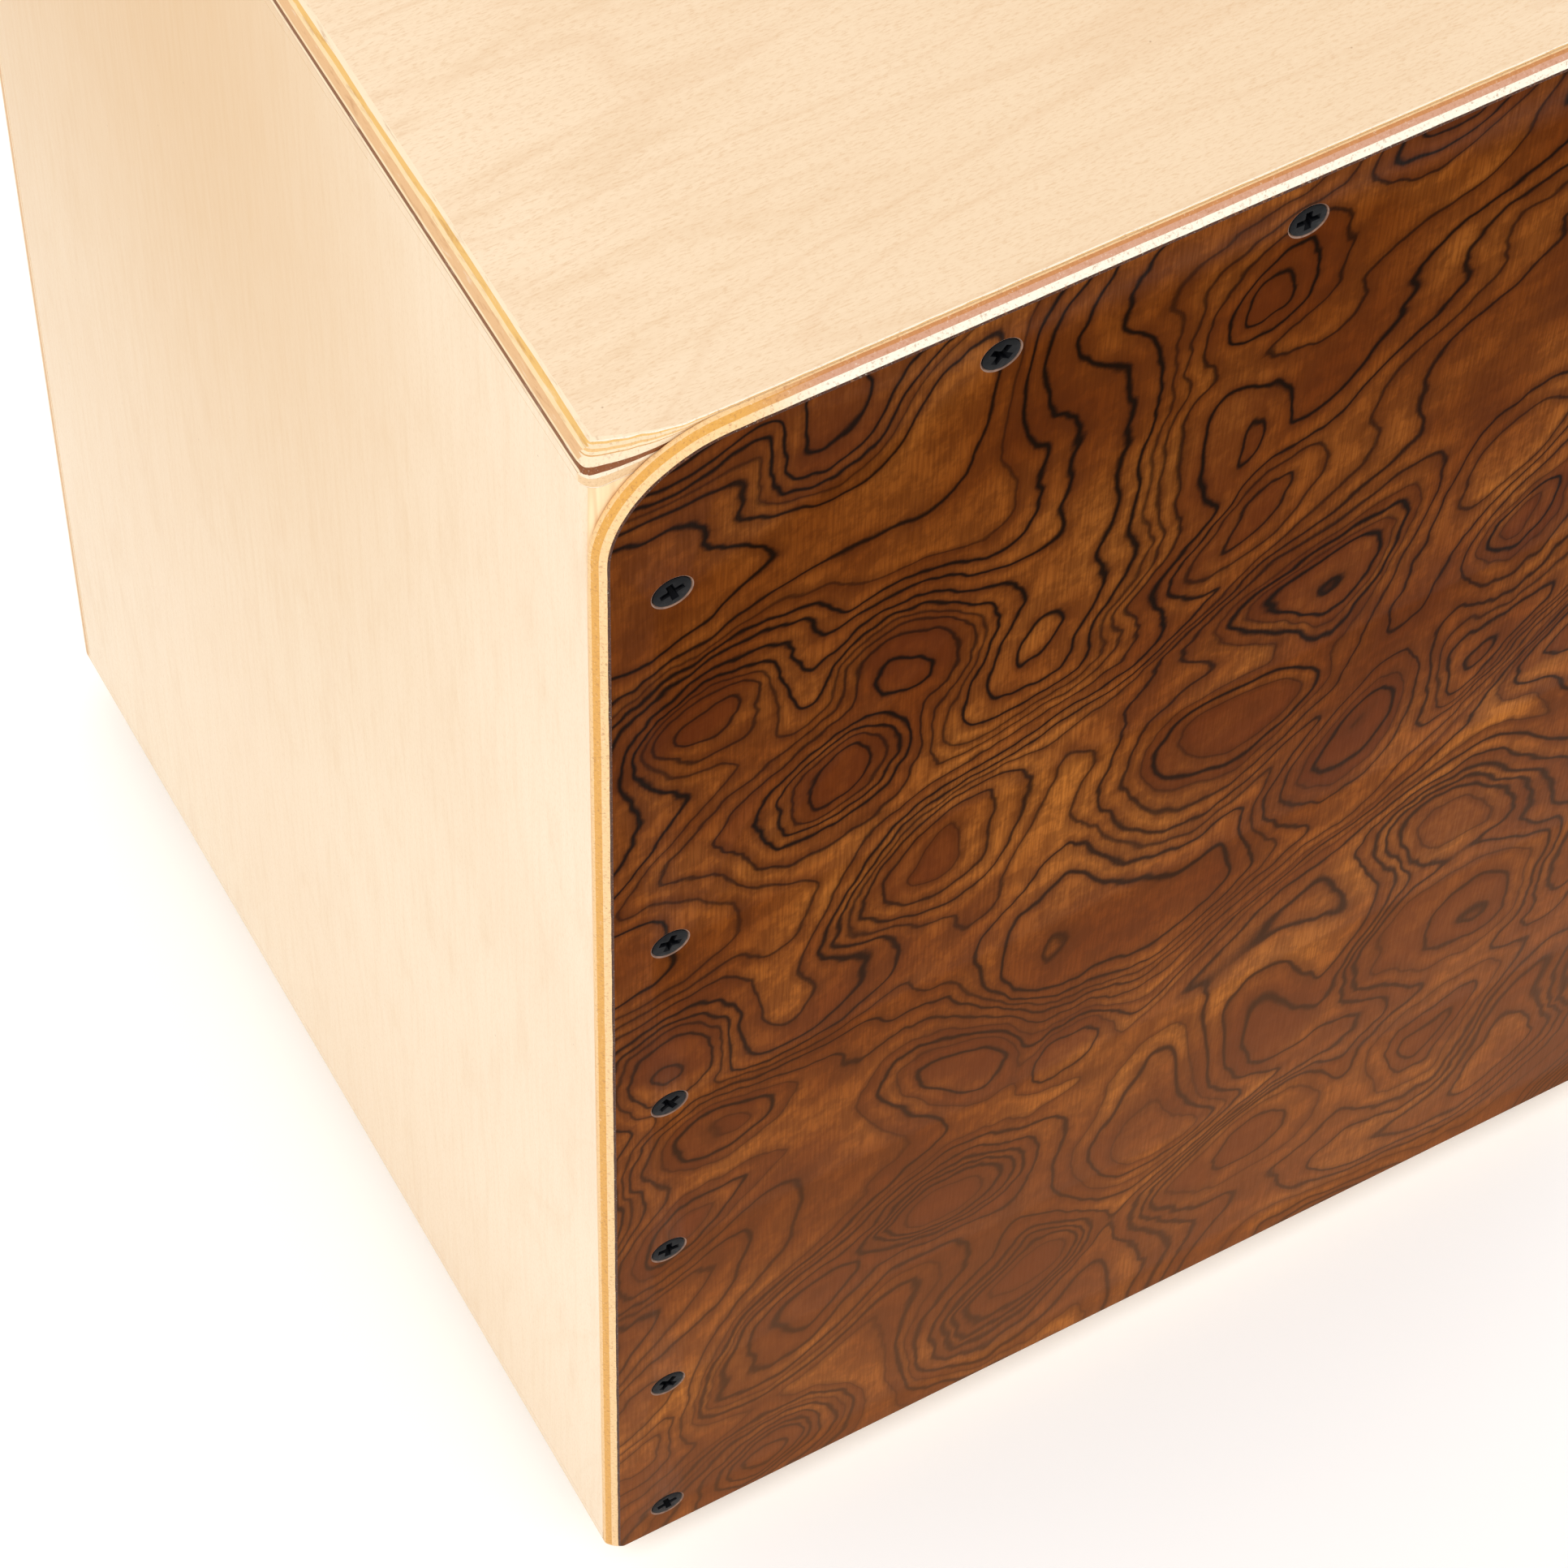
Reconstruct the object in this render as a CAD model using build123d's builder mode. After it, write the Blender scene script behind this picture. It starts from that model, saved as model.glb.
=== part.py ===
"""Snare cajon: a plywood box drum that the player sits on.

Millimetres. +Z is up, the playing plate faces -Y, and the origin is on the floor under the
middle of the box. The shell is glued plywood; the front plate is screwed to four cleats, and
a turning bar inside presses two sets of snare wires against the back of that plate.
"""

from build123d import *

import math
import os

# ---- overall size -------------------------------------------------------------------------
WIDTH = 300.0
DEPTH = 300.0
SHELL_HEIGHT = 447.0
FOOT_HEIGHT = 10.0

# ---- plywood ------------------------------------------------------------------------------
PLATE_THICK = 3.5
PANEL_THICK = 12.0
PANEL_LIP = 7.5
REAR_THICK = 5.0
PLATE_TOP_CORNER = 28.0
PLATE_BEVEL = 2.8
SHELL_EDGE_ROUND = 4.5
SEAT_FRONT_ROUND = 0.8
CORNER_RELIEF = 7.4
CORNER_RELIEF_RUN = 20.0
CORNER_EASE = 1.5
CORNER_EASE_END = 0.2
CORNER_EASE_DROP = 25.0
REAR_EDGE_ROUND = 3.0

# ---- sound port ---------------------------------------------------------------------------
PORT_RADIUS = 60.0
PORT_HEIGHT = 282.0
PORT_LIP_ROUND = 1.8

# ---- cleats inside the shell --------------------------------------------------------------
FRONT_CLEAT_WIDTH = 18.0
FRONT_CLEAT_DEPTH = 15.0
REAR_CLEAT = 15.0

# ---- front plate screws: countersunk, 4 mm, cross recess ----------------------------------
SIDE_INSET = 15.8
EDGE_INSET = 14.8
SCREW_PITCH = 66.0
TOP_ROW_COUNT = 3
SIDE_COLUMN_COUNT = 5
UPPER_SCREW_DROP = 44.5
LOWER_SCREW_RISE = 64.4
PLATE_SCREW_HEAD = 4.1
PLATE_SCREW_SHANK = 1.75
PLATE_SCREW_LENGTH = 18.0
PLATE_SCREW_SINK = 0.15
COUNTERSINK_ANGLE = 90.0
SCREW_RIM = 0.25
SHANK_CLEARANCE = 0.15
PILOT_CLEARANCE = 0.05
RECESS_SPAN = 1.1
RECESS_SLOT = 0.24
RECESS_DEPTH = 0.4

# ---- snare bar, its bearings and its lock -------------------------------------------------
BAR_RADIUS = 9.0
BAR_HEIGHT = 338.0
BAR_BEHIND_PLATE = 27.0
BAR_END_GAP = 0.5
BAR_RUNNING_GAP = 0.06
BAR_FLAT_DEPTH = 1.5
BAR_FLAT_MARGIN = 1.0
BLOCK_WIDTH = 40.0
BLOCK_HEIGHT = 42.0
BLOCK_BACK = 22.0
BLOCK_CHAMFER = 2.0
INSERT_RADIUS = 4.5
INSERT_LENGTH = 10.0
STEM_RADIUS = 3.0
STEM_RUNNING_GAP = 0.06
STEM_TIP_GAP = 0.3
STEM_TIP_CHAMFER = 0.6
STEM_IN_KNOB = 10.0
KNOB_GAP = 3.0
KNOB_RADIUS = 16.0
KNOB_HEIGHT = 14.0
KNOB_LOBES = 7
KNOB_LOBE_CUT = 5.0
KNOB_HUB_RADIUS = 8.0
KNOB_HUB_HEIGHT = 5.0
KNOB_EDGE_ROUND = 1.0

# ---- snare wires --------------------------------------------------------------------------
WIRE_COUNT = 12
WIRE_RADIUS = 1.1
WIRE_PITCH = 5.0
WIRE_RISE = 82.0
WIRE_TIP_GAP = 0.35
WIRE_SPLAY = 5.0
WIRE_START = 1.5
STRAP_THICK = 1.0
STRAP_HEIGHT = 13.0
STRAP_WIDTH = 66.0
STRAP_CORNER = 2.0
SNARE_OFFSET = 58.0
STRAP_SCREW_SPACING = 30.0
STRAP_SCREW_DROP = 2.6
STRAP_SCREW_HEAD = 2.6
STRAP_SCREW_HEAD_HEIGHT = 1.5
STRAP_SCREW_SHANK = 1.25
STRAP_SCREW_LENGTH = 10.0

# ---- feet ---------------------------------------------------------------------------------
FOOT_TOP_RADIUS = 17.0
FOOT_SOLE_RADIUS = 15.0
FOOT_RECESS_RADIUS = 8.0
FOOT_WEB = 4.0
FOOT_EDGE_ROUND = 1.2
FOOT_INSET = 32.0
WASHER_RADIUS = 7.5
WASHER_THICK = 1.2
FOOT_SCREW_HEAD = 4.0
FOOT_SCREW_HEAD_HEIGHT = 2.4
FOOT_SCREW_SHANK = 2.0
FOOT_SCREW_LENGTH = 14.0

# ---- shared by all the screws -------------------------------------------------------------
SCREW_POINT = 2.5
PAN_RIM_SHARE = 0.35
PAN_RECESS_SPAN = 1.0
PAN_RECESS_SLOT = 0.25
PAN_RECESS_DEPTH = 0.6

# ---- places worked out from the sizes above -----------------------------------------------
SHELL_BOTTOM = FOOT_HEIGHT
SEAT = FOOT_HEIGHT + SHELL_HEIGHT
FLOOR_TOP = SHELL_BOTTOM + PANEL_THICK
CEILING = SEAT - PANEL_THICK
FRONT = -DEPTH / 2
PLATE_BACK = FRONT + PLATE_THICK
REAR = DEPTH / 2
REAR_FRONT = REAR - REAR_THICK
SHELL_MIDDLE = (PLATE_BACK + REAR_FRONT) / 2
SHELL_DEPTH = REAR_FRONT - PLATE_BACK
MID_HEIGHT = (SHELL_BOTTOM + SEAT) / 2
INNER_X = WIDTH / 2 - PANEL_THICK
INNER_WIDTH = 2 * INNER_X
UPPER_LIP = SEAT - PANEL_LIP
LOWER_LIP = SHELL_BOTTOM + PANEL_LIP
INNER_HEIGHT = CEILING - FLOOR_TOP
BAR_Y = PLATE_BACK + BAR_BEHIND_PLATE
BLOCK_X = INNER_X - BLOCK_WIDTH / 2

front_face = Plane.XZ.offset(-FRONT)
cleat_face = Plane.XZ.offset(-PLATE_BACK)
sole_face = Plane.XY.offset(SHELL_BOTTOM)


def finish(piece, name):
    """Label a finished piece and write it under its own name."""
    piece.part.label = name
    export_step(piece.part, f"parts/{name}.step")


def in_box(points, low_x, high_x, low_z, high_z):
    """The screw points that fall on one cleat."""
    return [(x, z) for x, z in points if low_x < x < high_x and low_z < z < high_z]


def plate_screw_points():
    """X and Z of every front plate screw: two columns, a short top row and the bottom corners."""
    side_x = WIDTH / 2 - SIDE_INSET
    bottom_z = SHELL_BOTTOM + EDGE_INSET
    column = [bottom_z + LOWER_SCREW_RISE + i * SCREW_PITCH for i in range(SIDE_COLUMN_COUNT - 1)]
    column.append(SEAT - UPPER_SCREW_DROP)
    points = [(side * side_x, z) for side in (-1, 1) for z in column]
    top_start = -(TOP_ROW_COUNT - 1) / 2 * SCREW_PITCH
    points += [(top_start + i * SCREW_PITCH, SEAT - EDGE_INSET) for i in range(TOP_ROW_COUNT)]
    points += [(-side_x, bottom_z), (side_x, bottom_z)]
    return points


def roundover(radius):
    """What a roundover takes off the seat's front edge, drawn in a plane across X."""
    with BuildSketch() as waste:
        with BuildLine():
            Line((PLATE_BACK, SEAT), (PLATE_BACK + radius, SEAT))
            RadiusArc((PLATE_BACK + radius, SEAT), (PLATE_BACK, SEAT - radius), radius)
            Line((PLATE_BACK, SEAT - radius), (PLATE_BACK, SEAT))
        make_face()
    return waste.sketch


def corner_ease(radius, side):
    """What easing takes off a side panel's outer front edge, drawn in a level plane."""
    outer = side * WIDTH / 2
    with BuildSketch() as waste:
        with BuildLine():
            Line((outer, PLATE_BACK), (outer, PLATE_BACK + radius))
            Line((outer, PLATE_BACK + radius), (outer - side * radius, PLATE_BACK))
            Line((outer - side * radius, PLATE_BACK), (outer, PLATE_BACK))
        make_face()
    return waste.sketch


def countersunk_screw(head_radius, shank_radius, length):
    """A countersunk wood screw along Z with its flat head at Z = 0 and its point below."""
    cone = head_radius - shank_radius
    with BuildPart() as screw:
        with BuildSketch(Plane.XZ):
            with BuildLine():
                Polyline(
                    (0, 0),
                    (head_radius, 0),
                    (head_radius, -SCREW_RIM),
                    (shank_radius, -SCREW_RIM - cone),
                    (shank_radius, SCREW_POINT - length),
                    (0, -length),
                    close=True,
                )
            make_face()
        revolve(axis=Axis.Z)
        with BuildSketch(Plane.XY):
            Rectangle(head_radius * RECESS_SPAN, head_radius * RECESS_SLOT)
            Rectangle(head_radius * RECESS_SLOT, head_radius * RECESS_SPAN)
        extrude(amount=-head_radius * RECESS_DEPTH, mode=Mode.SUBTRACT)
    return screw.part


def pan_screw(head_radius, head_height, shank_radius, length):
    """A round-headed wood screw along Z, its head seated on Z = 0 and its point below."""
    rim = head_height * PAN_RIM_SHARE
    dome = (head_radius**2 + (head_height - rim) ** 2) / (2 * (head_height - rim))
    dome_centre = head_height - dome
    dome_start = math.degrees(math.atan2(rim - dome_centre, head_radius))
    with BuildPart() as screw:
        with BuildSketch(Plane.XZ):
            with BuildLine():
                Line((0, head_height), (0, -length))
                Line((0, -length), (shank_radius, SCREW_POINT - length))
                Line((shank_radius, SCREW_POINT - length), (shank_radius, 0))
                Line((shank_radius, 0), (head_radius, 0))
                Line((head_radius, 0), (head_radius, rim))
                CenterArc((0, dome_centre), dome, dome_start, 90 - dome_start)
            make_face()
        revolve(axis=Axis.Z)
        with BuildSketch(Plane.XY.offset(head_height)):
            Rectangle(head_radius * PAN_RECESS_SPAN, head_radius * PAN_RECESS_SLOT)
            Rectangle(head_radius * PAN_RECESS_SLOT, head_radius * PAN_RECESS_SPAN)
        extrude(amount=-head_height * PAN_RECESS_DEPTH, mode=Mode.SUBTRACT)
    return screw.part


os.makedirs("parts", exist_ok=True)
screw_points = plate_screw_points()

# ---- front plate: thin laminated plywood, its upper corners cut to a wide radius ----------
countersink_radius = PLATE_SCREW_HEAD + SCREW_RIM + PLATE_SCREW_SINK + PILOT_CLEARANCE
with BuildPart() as front_plate:
    with BuildSketch(cleat_face) as plate_outline:
        with Locations((0, MID_HEIGHT)):
            Rectangle(WIDTH, SHELL_HEIGHT)
        fillet(plate_outline.vertices().group_by(Axis.Y)[-1], radius=PLATE_TOP_CORNER)
        fillet(plate_outline.vertices().group_by(Axis.Y)[0], radius=SHELL_EDGE_ROUND)
    extrude(amount=PLATE_THICK)
    front_rim = front_plate.faces().sort_by(Axis.Y)[0].outer_wire().edges()
    chamfer(front_rim, length=PLATE_BEVEL)
    with Locations(front_face):
        with Locations(*screw_points):
            CounterSinkHole(
                radius=PLATE_SCREW_SHANK + SHANK_CLEARANCE,
                counter_sink_radius=countersink_radius,
                depth=PLATE_THICK,
                counter_sink_angle=COUNTERSINK_ANGLE,
            )
finish(front_plate, "front_plate")

# ---- the screws that hold it --------------------------------------------------------------
plate_screw = countersunk_screw(PLATE_SCREW_HEAD, PLATE_SCREW_SHANK, PLATE_SCREW_LENGTH)
with BuildPart() as front_plate_screws:
    with Locations(Plane.XZ.offset(-FRONT - PLATE_SCREW_SINK)):
        with Locations(*screw_points):
            add(plate_screw)
finish(front_plate_screws, "front_plate_screws")

# ---- seat panel: its lips lap over the side panels, its bare front corners are cut back ---
with BuildPart() as top_panel:
    with BuildSketch(Plane.XY.offset(CEILING)):
        with Locations((0, SHELL_MIDDLE)):
            Rectangle(INNER_WIDTH, SHELL_DEPTH)
    extrude(amount=PANEL_THICK)
    with BuildSketch(Plane.XY.offset(UPPER_LIP)):
        with Locations((0, SHELL_MIDDLE)):
            Rectangle(WIDTH, SHELL_DEPTH)
    extrude(amount=PANEL_LIP)
    lip_uprights = top_panel.edges().filter_by(Axis.Z).filter_by_position(Axis.Z, UPPER_LIP, SEAT)
    fillet(lip_uprights.group_by(Axis.Y)[0], radius=CORNER_EASE)
    seat_edges = top_panel.faces().sort_by(Axis.Z)[-1].edges().filter_by(Axis.Y)
    fillet(seat_edges, radius=SHELL_EDGE_ROUND)
    relief_start = WIDTH / 2 - CORNER_RELIEF_RUN
    with BuildSketch(Plane.YZ.offset(-relief_start)):
        add(roundover(SEAT_FRONT_ROUND))
    extrude(amount=2 * relief_start, mode=Mode.SUBTRACT)
    for side in (-1, 1):
        with BuildSketch(Plane.YZ.offset(side * relief_start)):
            add(roundover(SEAT_FRONT_ROUND))
        with BuildSketch(Plane.YZ.offset(side * WIDTH / 2)):
            add(roundover(CORNER_RELIEF))
        loft(ruled=True, mode=Mode.SUBTRACT)
finish(top_panel, "top_panel")

# ---- bottom panel: lips as on the seat panel, and pilot holes for the feet ----------------
foot_span_x = WIDTH - 2 * FOOT_INSET
foot_span_y = DEPTH - 2 * FOOT_INSET
foot_screw_start = SHELL_BOTTOM - FOOT_WEB - WASHER_THICK
with BuildPart() as bottom_panel:
    with BuildSketch(sole_face):
        with Locations((0, SHELL_MIDDLE)):
            Rectangle(WIDTH, SHELL_DEPTH)
    extrude(amount=PANEL_LIP)
    with BuildSketch(sole_face):
        with Locations((0, SHELL_MIDDLE)):
            Rectangle(INNER_WIDTH, SHELL_DEPTH)
    extrude(amount=PANEL_THICK)
    lower_edges = bottom_panel.faces().sort_by(Axis.Z)[0].edges().filter_by(Axis.Y)
    fillet(lower_edges, radius=SHELL_EDGE_ROUND)
    pilot_depth = foot_screw_start + FOOT_SCREW_LENGTH - SHELL_BOTTOM + PILOT_CLEARANCE
    with Locations(Plane(origin=(0, 0, SHELL_BOTTOM), x_dir=(1, 0, 0), z_dir=(0, 0, -1))):
        with GridLocations(foot_span_x, foot_span_y, 2, 2):
            Hole(radius=FOOT_SCREW_SHANK + PILOT_CLEARANCE, depth=pilot_depth)
finish(bottom_panel, "bottom_panel")

# ---- side panels: the outer front edge is eased where the plate's corner leaves it bare ---
for side, name in ((-1, "left_side_panel"), (1, "right_side_panel")):
    with BuildPart() as side_panel:
        with BuildSketch(Plane.XY.offset(LOWER_LIP)):
            with Locations((side * (WIDTH - PANEL_THICK) / 2, SHELL_MIDDLE)):
                Rectangle(PANEL_THICK, SHELL_DEPTH)
        extrude(amount=UPPER_LIP - LOWER_LIP)
        with BuildSketch(Plane.XY.offset(UPPER_LIP)):
            add(corner_ease(CORNER_EASE, side))
        with BuildSketch(Plane.XY.offset(UPPER_LIP - CORNER_EASE_DROP)):
            add(corner_ease(CORNER_EASE_END, side))
        loft(ruled=True, mode=Mode.SUBTRACT)
    finish(side_panel, name)

# ---- rear panel with the sound port -------------------------------------------------------
with BuildPart() as rear_panel:
    with BuildSketch(Plane.XZ.offset(-REAR)) as rear_outline:
        with Locations((0, MID_HEIGHT)):
            Rectangle(WIDTH, SHELL_HEIGHT)
        fillet(rear_outline.vertices(), radius=SHELL_EDGE_ROUND)
        with Locations((0, PORT_HEIGHT)):
            Circle(PORT_RADIUS, mode=Mode.SUBTRACT)
    extrude(amount=REAR_THICK)
    back_face = rear_panel.faces().sort_by(Axis.Y)[-1]
    fillet(back_face.outer_wire().edges(), radius=REAR_EDGE_ROUND)
    port_edges = rear_panel.edges().filter_by(GeomType.CIRCLE)
    port_edges = port_edges.filter_by(lambda edge: math.isclose(edge.radius, PORT_RADIUS))
    fillet(port_edges, radius=PORT_LIP_ROUND)
finish(rear_panel, "rear_panel")

# ---- front cleats: the plate's screws bite into these -------------------------------------
pilot_depth = PLATE_SCREW_LENGTH + PLATE_SCREW_SINK - PLATE_THICK + PILOT_CLEARANCE
cleat_centres = {"top": CEILING - FRONT_CLEAT_WIDTH / 2, "bottom": FLOOR_TOP + FRONT_CLEAT_WIDTH / 2}
for end, centre_z in cleat_centres.items():
    with BuildPart() as level_cleat:
        with BuildSketch(cleat_face):
            with Locations((0, centre_z)):
                Rectangle(INNER_WIDTH, FRONT_CLEAT_WIDTH)
        extrude(amount=-FRONT_CLEAT_DEPTH)
        half = FRONT_CLEAT_WIDTH / 2
        own_points = in_box(screw_points, -INNER_X, INNER_X, centre_z - half, centre_z + half)
        with Locations(cleat_face):
            with Locations(*own_points):
                Hole(radius=PLATE_SCREW_SHANK + PILOT_CLEARANCE, depth=pilot_depth)
    finish(level_cleat, f"front_cleat_{end}")

upright_low = FLOOR_TOP + FRONT_CLEAT_WIDTH
upright_high = CEILING - FRONT_CLEAT_WIDTH
for side, hand in ((-1, "left"), (1, "right")):
    with BuildPart() as upright_cleat:
        centre_x = side * (INNER_X - FRONT_CLEAT_WIDTH / 2)
        with BuildSketch(cleat_face):
            with Locations((centre_x, (upright_low + upright_high) / 2)):
                Rectangle(FRONT_CLEAT_WIDTH, upright_high - upright_low)
        extrude(amount=-FRONT_CLEAT_DEPTH)
        half = FRONT_CLEAT_WIDTH / 2
        own_points = in_box(screw_points, centre_x - half, centre_x + half, upright_low, upright_high)
        with Locations(cleat_face):
            with Locations(*own_points):
                Hole(radius=PLATE_SCREW_SHANK + PILOT_CLEARANCE, depth=pilot_depth)
    finish(upright_cleat, f"front_cleat_{hand}")

# ---- rear cleats: glue blocks all round behind the rear panel -----------------------------
rear_cleat_face = Plane.XZ.offset(-REAR_FRONT)
for end, centre_z in (("top", CEILING - REAR_CLEAT / 2), ("bottom", FLOOR_TOP + REAR_CLEAT / 2)):
    with BuildPart() as level_cleat:
        with BuildSketch(rear_cleat_face):
            with Locations((0, centre_z)):
                Rectangle(INNER_WIDTH, REAR_CLEAT)
        extrude(amount=REAR_CLEAT)
    finish(level_cleat, f"rear_cleat_{end}")

for side, hand in ((-1, "left"), (1, "right")):
    with BuildPart() as upright_cleat:
        with BuildSketch(rear_cleat_face):
            with Locations((side * (INNER_X - REAR_CLEAT / 2), MID_HEIGHT)):
                Rectangle(REAR_CLEAT, INNER_HEIGHT - 2 * REAR_CLEAT)
        extrude(amount=REAR_CLEAT)
    finish(upright_cleat, f"rear_cleat_{hand}")

# ---- bearing blocks: glued to the side panels, the snare bar turns in their bores ---------
block_front = PLATE_BACK + FRONT_CLEAT_DEPTH
block_rear = BAR_Y + BLOCK_BACK
for side, hand in ((-1, "left"), (1, "right")):
    with BuildPart() as block:
        with BuildSketch(Plane.XY.offset(BAR_HEIGHT - BLOCK_HEIGHT / 2)):
            with Locations((side * BLOCK_X, (block_front + block_rear) / 2)):
                Rectangle(BLOCK_WIDTH, block_rear - block_front)
        extrude(amount=BLOCK_HEIGHT)
        rear_edges = block.faces().sort_by(Axis.Y)[-1].edges().filter_by(Axis.X)
        chamfer(rear_edges, length=BLOCK_CHAMFER)
        with BuildSketch(Plane.YZ.offset(side * INNER_X)):
            with Locations((BAR_Y, BAR_HEIGHT)):
                Circle(BAR_RADIUS + BAR_RUNNING_GAP)
        extrude(amount=-side * BLOCK_WIDTH, mode=Mode.SUBTRACT)
        if side > 0:
            with BuildSketch(Plane.XZ.offset(-block_rear)):
                with Locations((side * BLOCK_X, BAR_HEIGHT)):
                    Circle(INSERT_RADIUS)
            extrude(amount=INSERT_LENGTH, mode=Mode.SUBTRACT)
            with BuildSketch(Plane.XZ.offset(-block_rear)):
                with Locations((side * BLOCK_X, BAR_HEIGHT)):
                    Circle(STEM_RADIUS + STEM_RUNNING_GAP)
            extrude(amount=BLOCK_BACK, mode=Mode.SUBTRACT)
    finish(block, f"snare_bearing_block_{hand}")

# ---- threaded insert of the lock ----------------------------------------------------------
with BuildPart() as lock_insert:
    with BuildSketch(Plane.XZ.offset(-block_rear)):
        with Locations((BLOCK_X, BAR_HEIGHT)):
            Circle(INSERT_RADIUS)
            Circle(STEM_RADIUS + STEM_RUNNING_GAP, mode=Mode.SUBTRACT)
    extrude(amount=INSERT_LENGTH)
finish(lock_insert, "lock_insert")

# ---- lock knob and its threaded stem, along Y behind the right-hand block -----------------
knob_front = block_rear + KNOB_GAP
stem_tip = BAR_Y + BAR_RADIUS + STEM_TIP_GAP
hub_rear = knob_front + KNOB_HUB_HEIGHT
knob_rear = hub_rear + KNOB_HEIGHT
stem_end = knob_front + STEM_IN_KNOB
with BuildPart() as lock_knob:
    with BuildSketch(Plane.XZ.offset(-hub_rear)):
        with Locations((BLOCK_X, BAR_HEIGHT)):
            Circle(KNOB_HUB_RADIUS)
    extrude(amount=KNOB_HUB_HEIGHT)
    with BuildSketch(Plane.XZ.offset(-knob_rear)):
        with Locations((BLOCK_X, BAR_HEIGHT)):
            Circle(KNOB_RADIUS)
            with PolarLocations(KNOB_RADIUS + KNOB_LOBE_CUT / 2, KNOB_LOBES):
                Circle(KNOB_LOBE_CUT, mode=Mode.SUBTRACT)
    extrude(amount=KNOB_HEIGHT)
    grip_rear = lock_knob.faces().sort_by(Axis.Y)[-1]
    fillet(grip_rear.edges(), radius=KNOB_EDGE_ROUND)
    with BuildSketch(Plane.XZ.offset(-stem_end)):
        with Locations((BLOCK_X, BAR_HEIGHT)):
            Circle(STEM_RADIUS)
    extrude(amount=STEM_IN_KNOB, mode=Mode.SUBTRACT)
finish(lock_knob, "lock_knob")

with BuildPart() as lock_stem:
    with BuildSketch(Plane.XZ.offset(-stem_end)):
        with Locations((BLOCK_X, BAR_HEIGHT)):
            Circle(STEM_RADIUS)
    extrude(amount=stem_end - stem_tip)
    chamfer(lock_stem.faces().sort_by(Axis.Y)[0].edges(), length=STEM_TIP_CHAMFER)
finish(lock_stem, "lock_stem")

# ---- snare bar: a beech dowel with a flat for each strap ----------------------------------
# The flats, straps and wires share one leaning plane: it starts on the bar's front and the
# wires climb forward along it until their tips all but touch the plate.
flat_offset = BAR_RADIUS - BAR_FLAT_DEPTH
wire_offset = flat_offset + STRAP_THICK + WIRE_RADIUS
tip_offset = BAR_BEHIND_PLATE - WIRE_RADIUS - WIRE_TIP_GAP
lean = math.degrees(math.asin(tip_offset / math.hypot(wire_offset, WIRE_RISE)))
lean -= math.degrees(math.atan2(wire_offset, WIRE_RISE))
bar_plane = Plane(origin=(0, BAR_Y, BAR_HEIGHT), x_dir=(1, 0, 0), z_dir=(0, -1, 0))
snare_plane = bar_plane.rotated((lean, 0, 0))

with BuildPart() as snare_bar:
    bar_length = INNER_WIDTH - 2 * BAR_END_GAP
    with BuildSketch(Plane.YZ.offset(-bar_length / 2)):
        with Locations((BAR_Y, BAR_HEIGHT)):
            Circle(BAR_RADIUS)
    extrude(amount=bar_length)
    with BuildSketch(snare_plane.offset(flat_offset)):
        with Locations((-SNARE_OFFSET, 0), (SNARE_OFFSET, 0)):
            Rectangle(STRAP_WIDTH + 2 * BAR_FLAT_MARGIN, 2 * BAR_RADIUS)
    extrude(amount=BAR_RADIUS, mode=Mode.SUBTRACT)
    with Locations(snare_plane.offset(flat_offset)):
        with Locations((-SNARE_OFFSET, -STRAP_SCREW_DROP), (SNARE_OFFSET, -STRAP_SCREW_DROP)):
            with GridLocations(STRAP_SCREW_SPACING, 1, 2, 1):
                Hole(radius=STRAP_SCREW_SHANK + PILOT_CLEARANCE, depth=STRAP_SCREW_LENGTH)
finish(snare_bar, "snare_bar")

# ---- steel straps, their screws and the wires ---------------------------------------------
for side, hand in ((-1, "left"), (1, "right")):
    with BuildPart() as strap:
        with BuildSketch(snare_plane.offset(flat_offset)):
            with Locations((side * SNARE_OFFSET, 0)):
                RectangleRounded(STRAP_WIDTH, STRAP_HEIGHT, STRAP_CORNER)
            with Locations((side * SNARE_OFFSET, -STRAP_SCREW_DROP)):
                with GridLocations(STRAP_SCREW_SPACING, 1, 2, 1):
                    Circle(STRAP_SCREW_SHANK + PILOT_CLEARANCE, mode=Mode.SUBTRACT)
        extrude(amount=STRAP_THICK)
    finish(strap, f"snare_strap_{hand}")

    with BuildPart() as wires:
        for i in range(WIRE_COUNT):
            step = i - (WIRE_COUNT - 1) / 2
            splay = step / (WIRE_COUNT - 1) * 2 * WIRE_SPLAY
            root = (side * SNARE_OFFSET + step * WIRE_PITCH, WIRE_START, wire_offset)
            wire_plane = snare_plane * Location(root, (-90, 0, 0)) * Location((0, 0, 0), (0, splay, 0))
            with BuildSketch(wire_plane):
                Circle(WIRE_RADIUS)
            extrude(amount=(WIRE_RISE - WIRE_START) / math.cos(math.radians(splay)))
    finish(wires, f"snare_wires_{hand}")

strap_screw = pan_screw(
    STRAP_SCREW_HEAD, STRAP_SCREW_HEAD_HEIGHT, STRAP_SCREW_SHANK, STRAP_SCREW_LENGTH + STRAP_THICK
)
with BuildPart() as snare_strap_screws:
    with Locations(snare_plane.offset(flat_offset + STRAP_THICK)):
        with Locations((-SNARE_OFFSET, -STRAP_SCREW_DROP), (SNARE_OFFSET, -STRAP_SCREW_DROP)):
            with GridLocations(STRAP_SCREW_SPACING, 1, 2, 1):
                add(strap_screw)
finish(snare_strap_screws, "snare_strap_screws")

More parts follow.
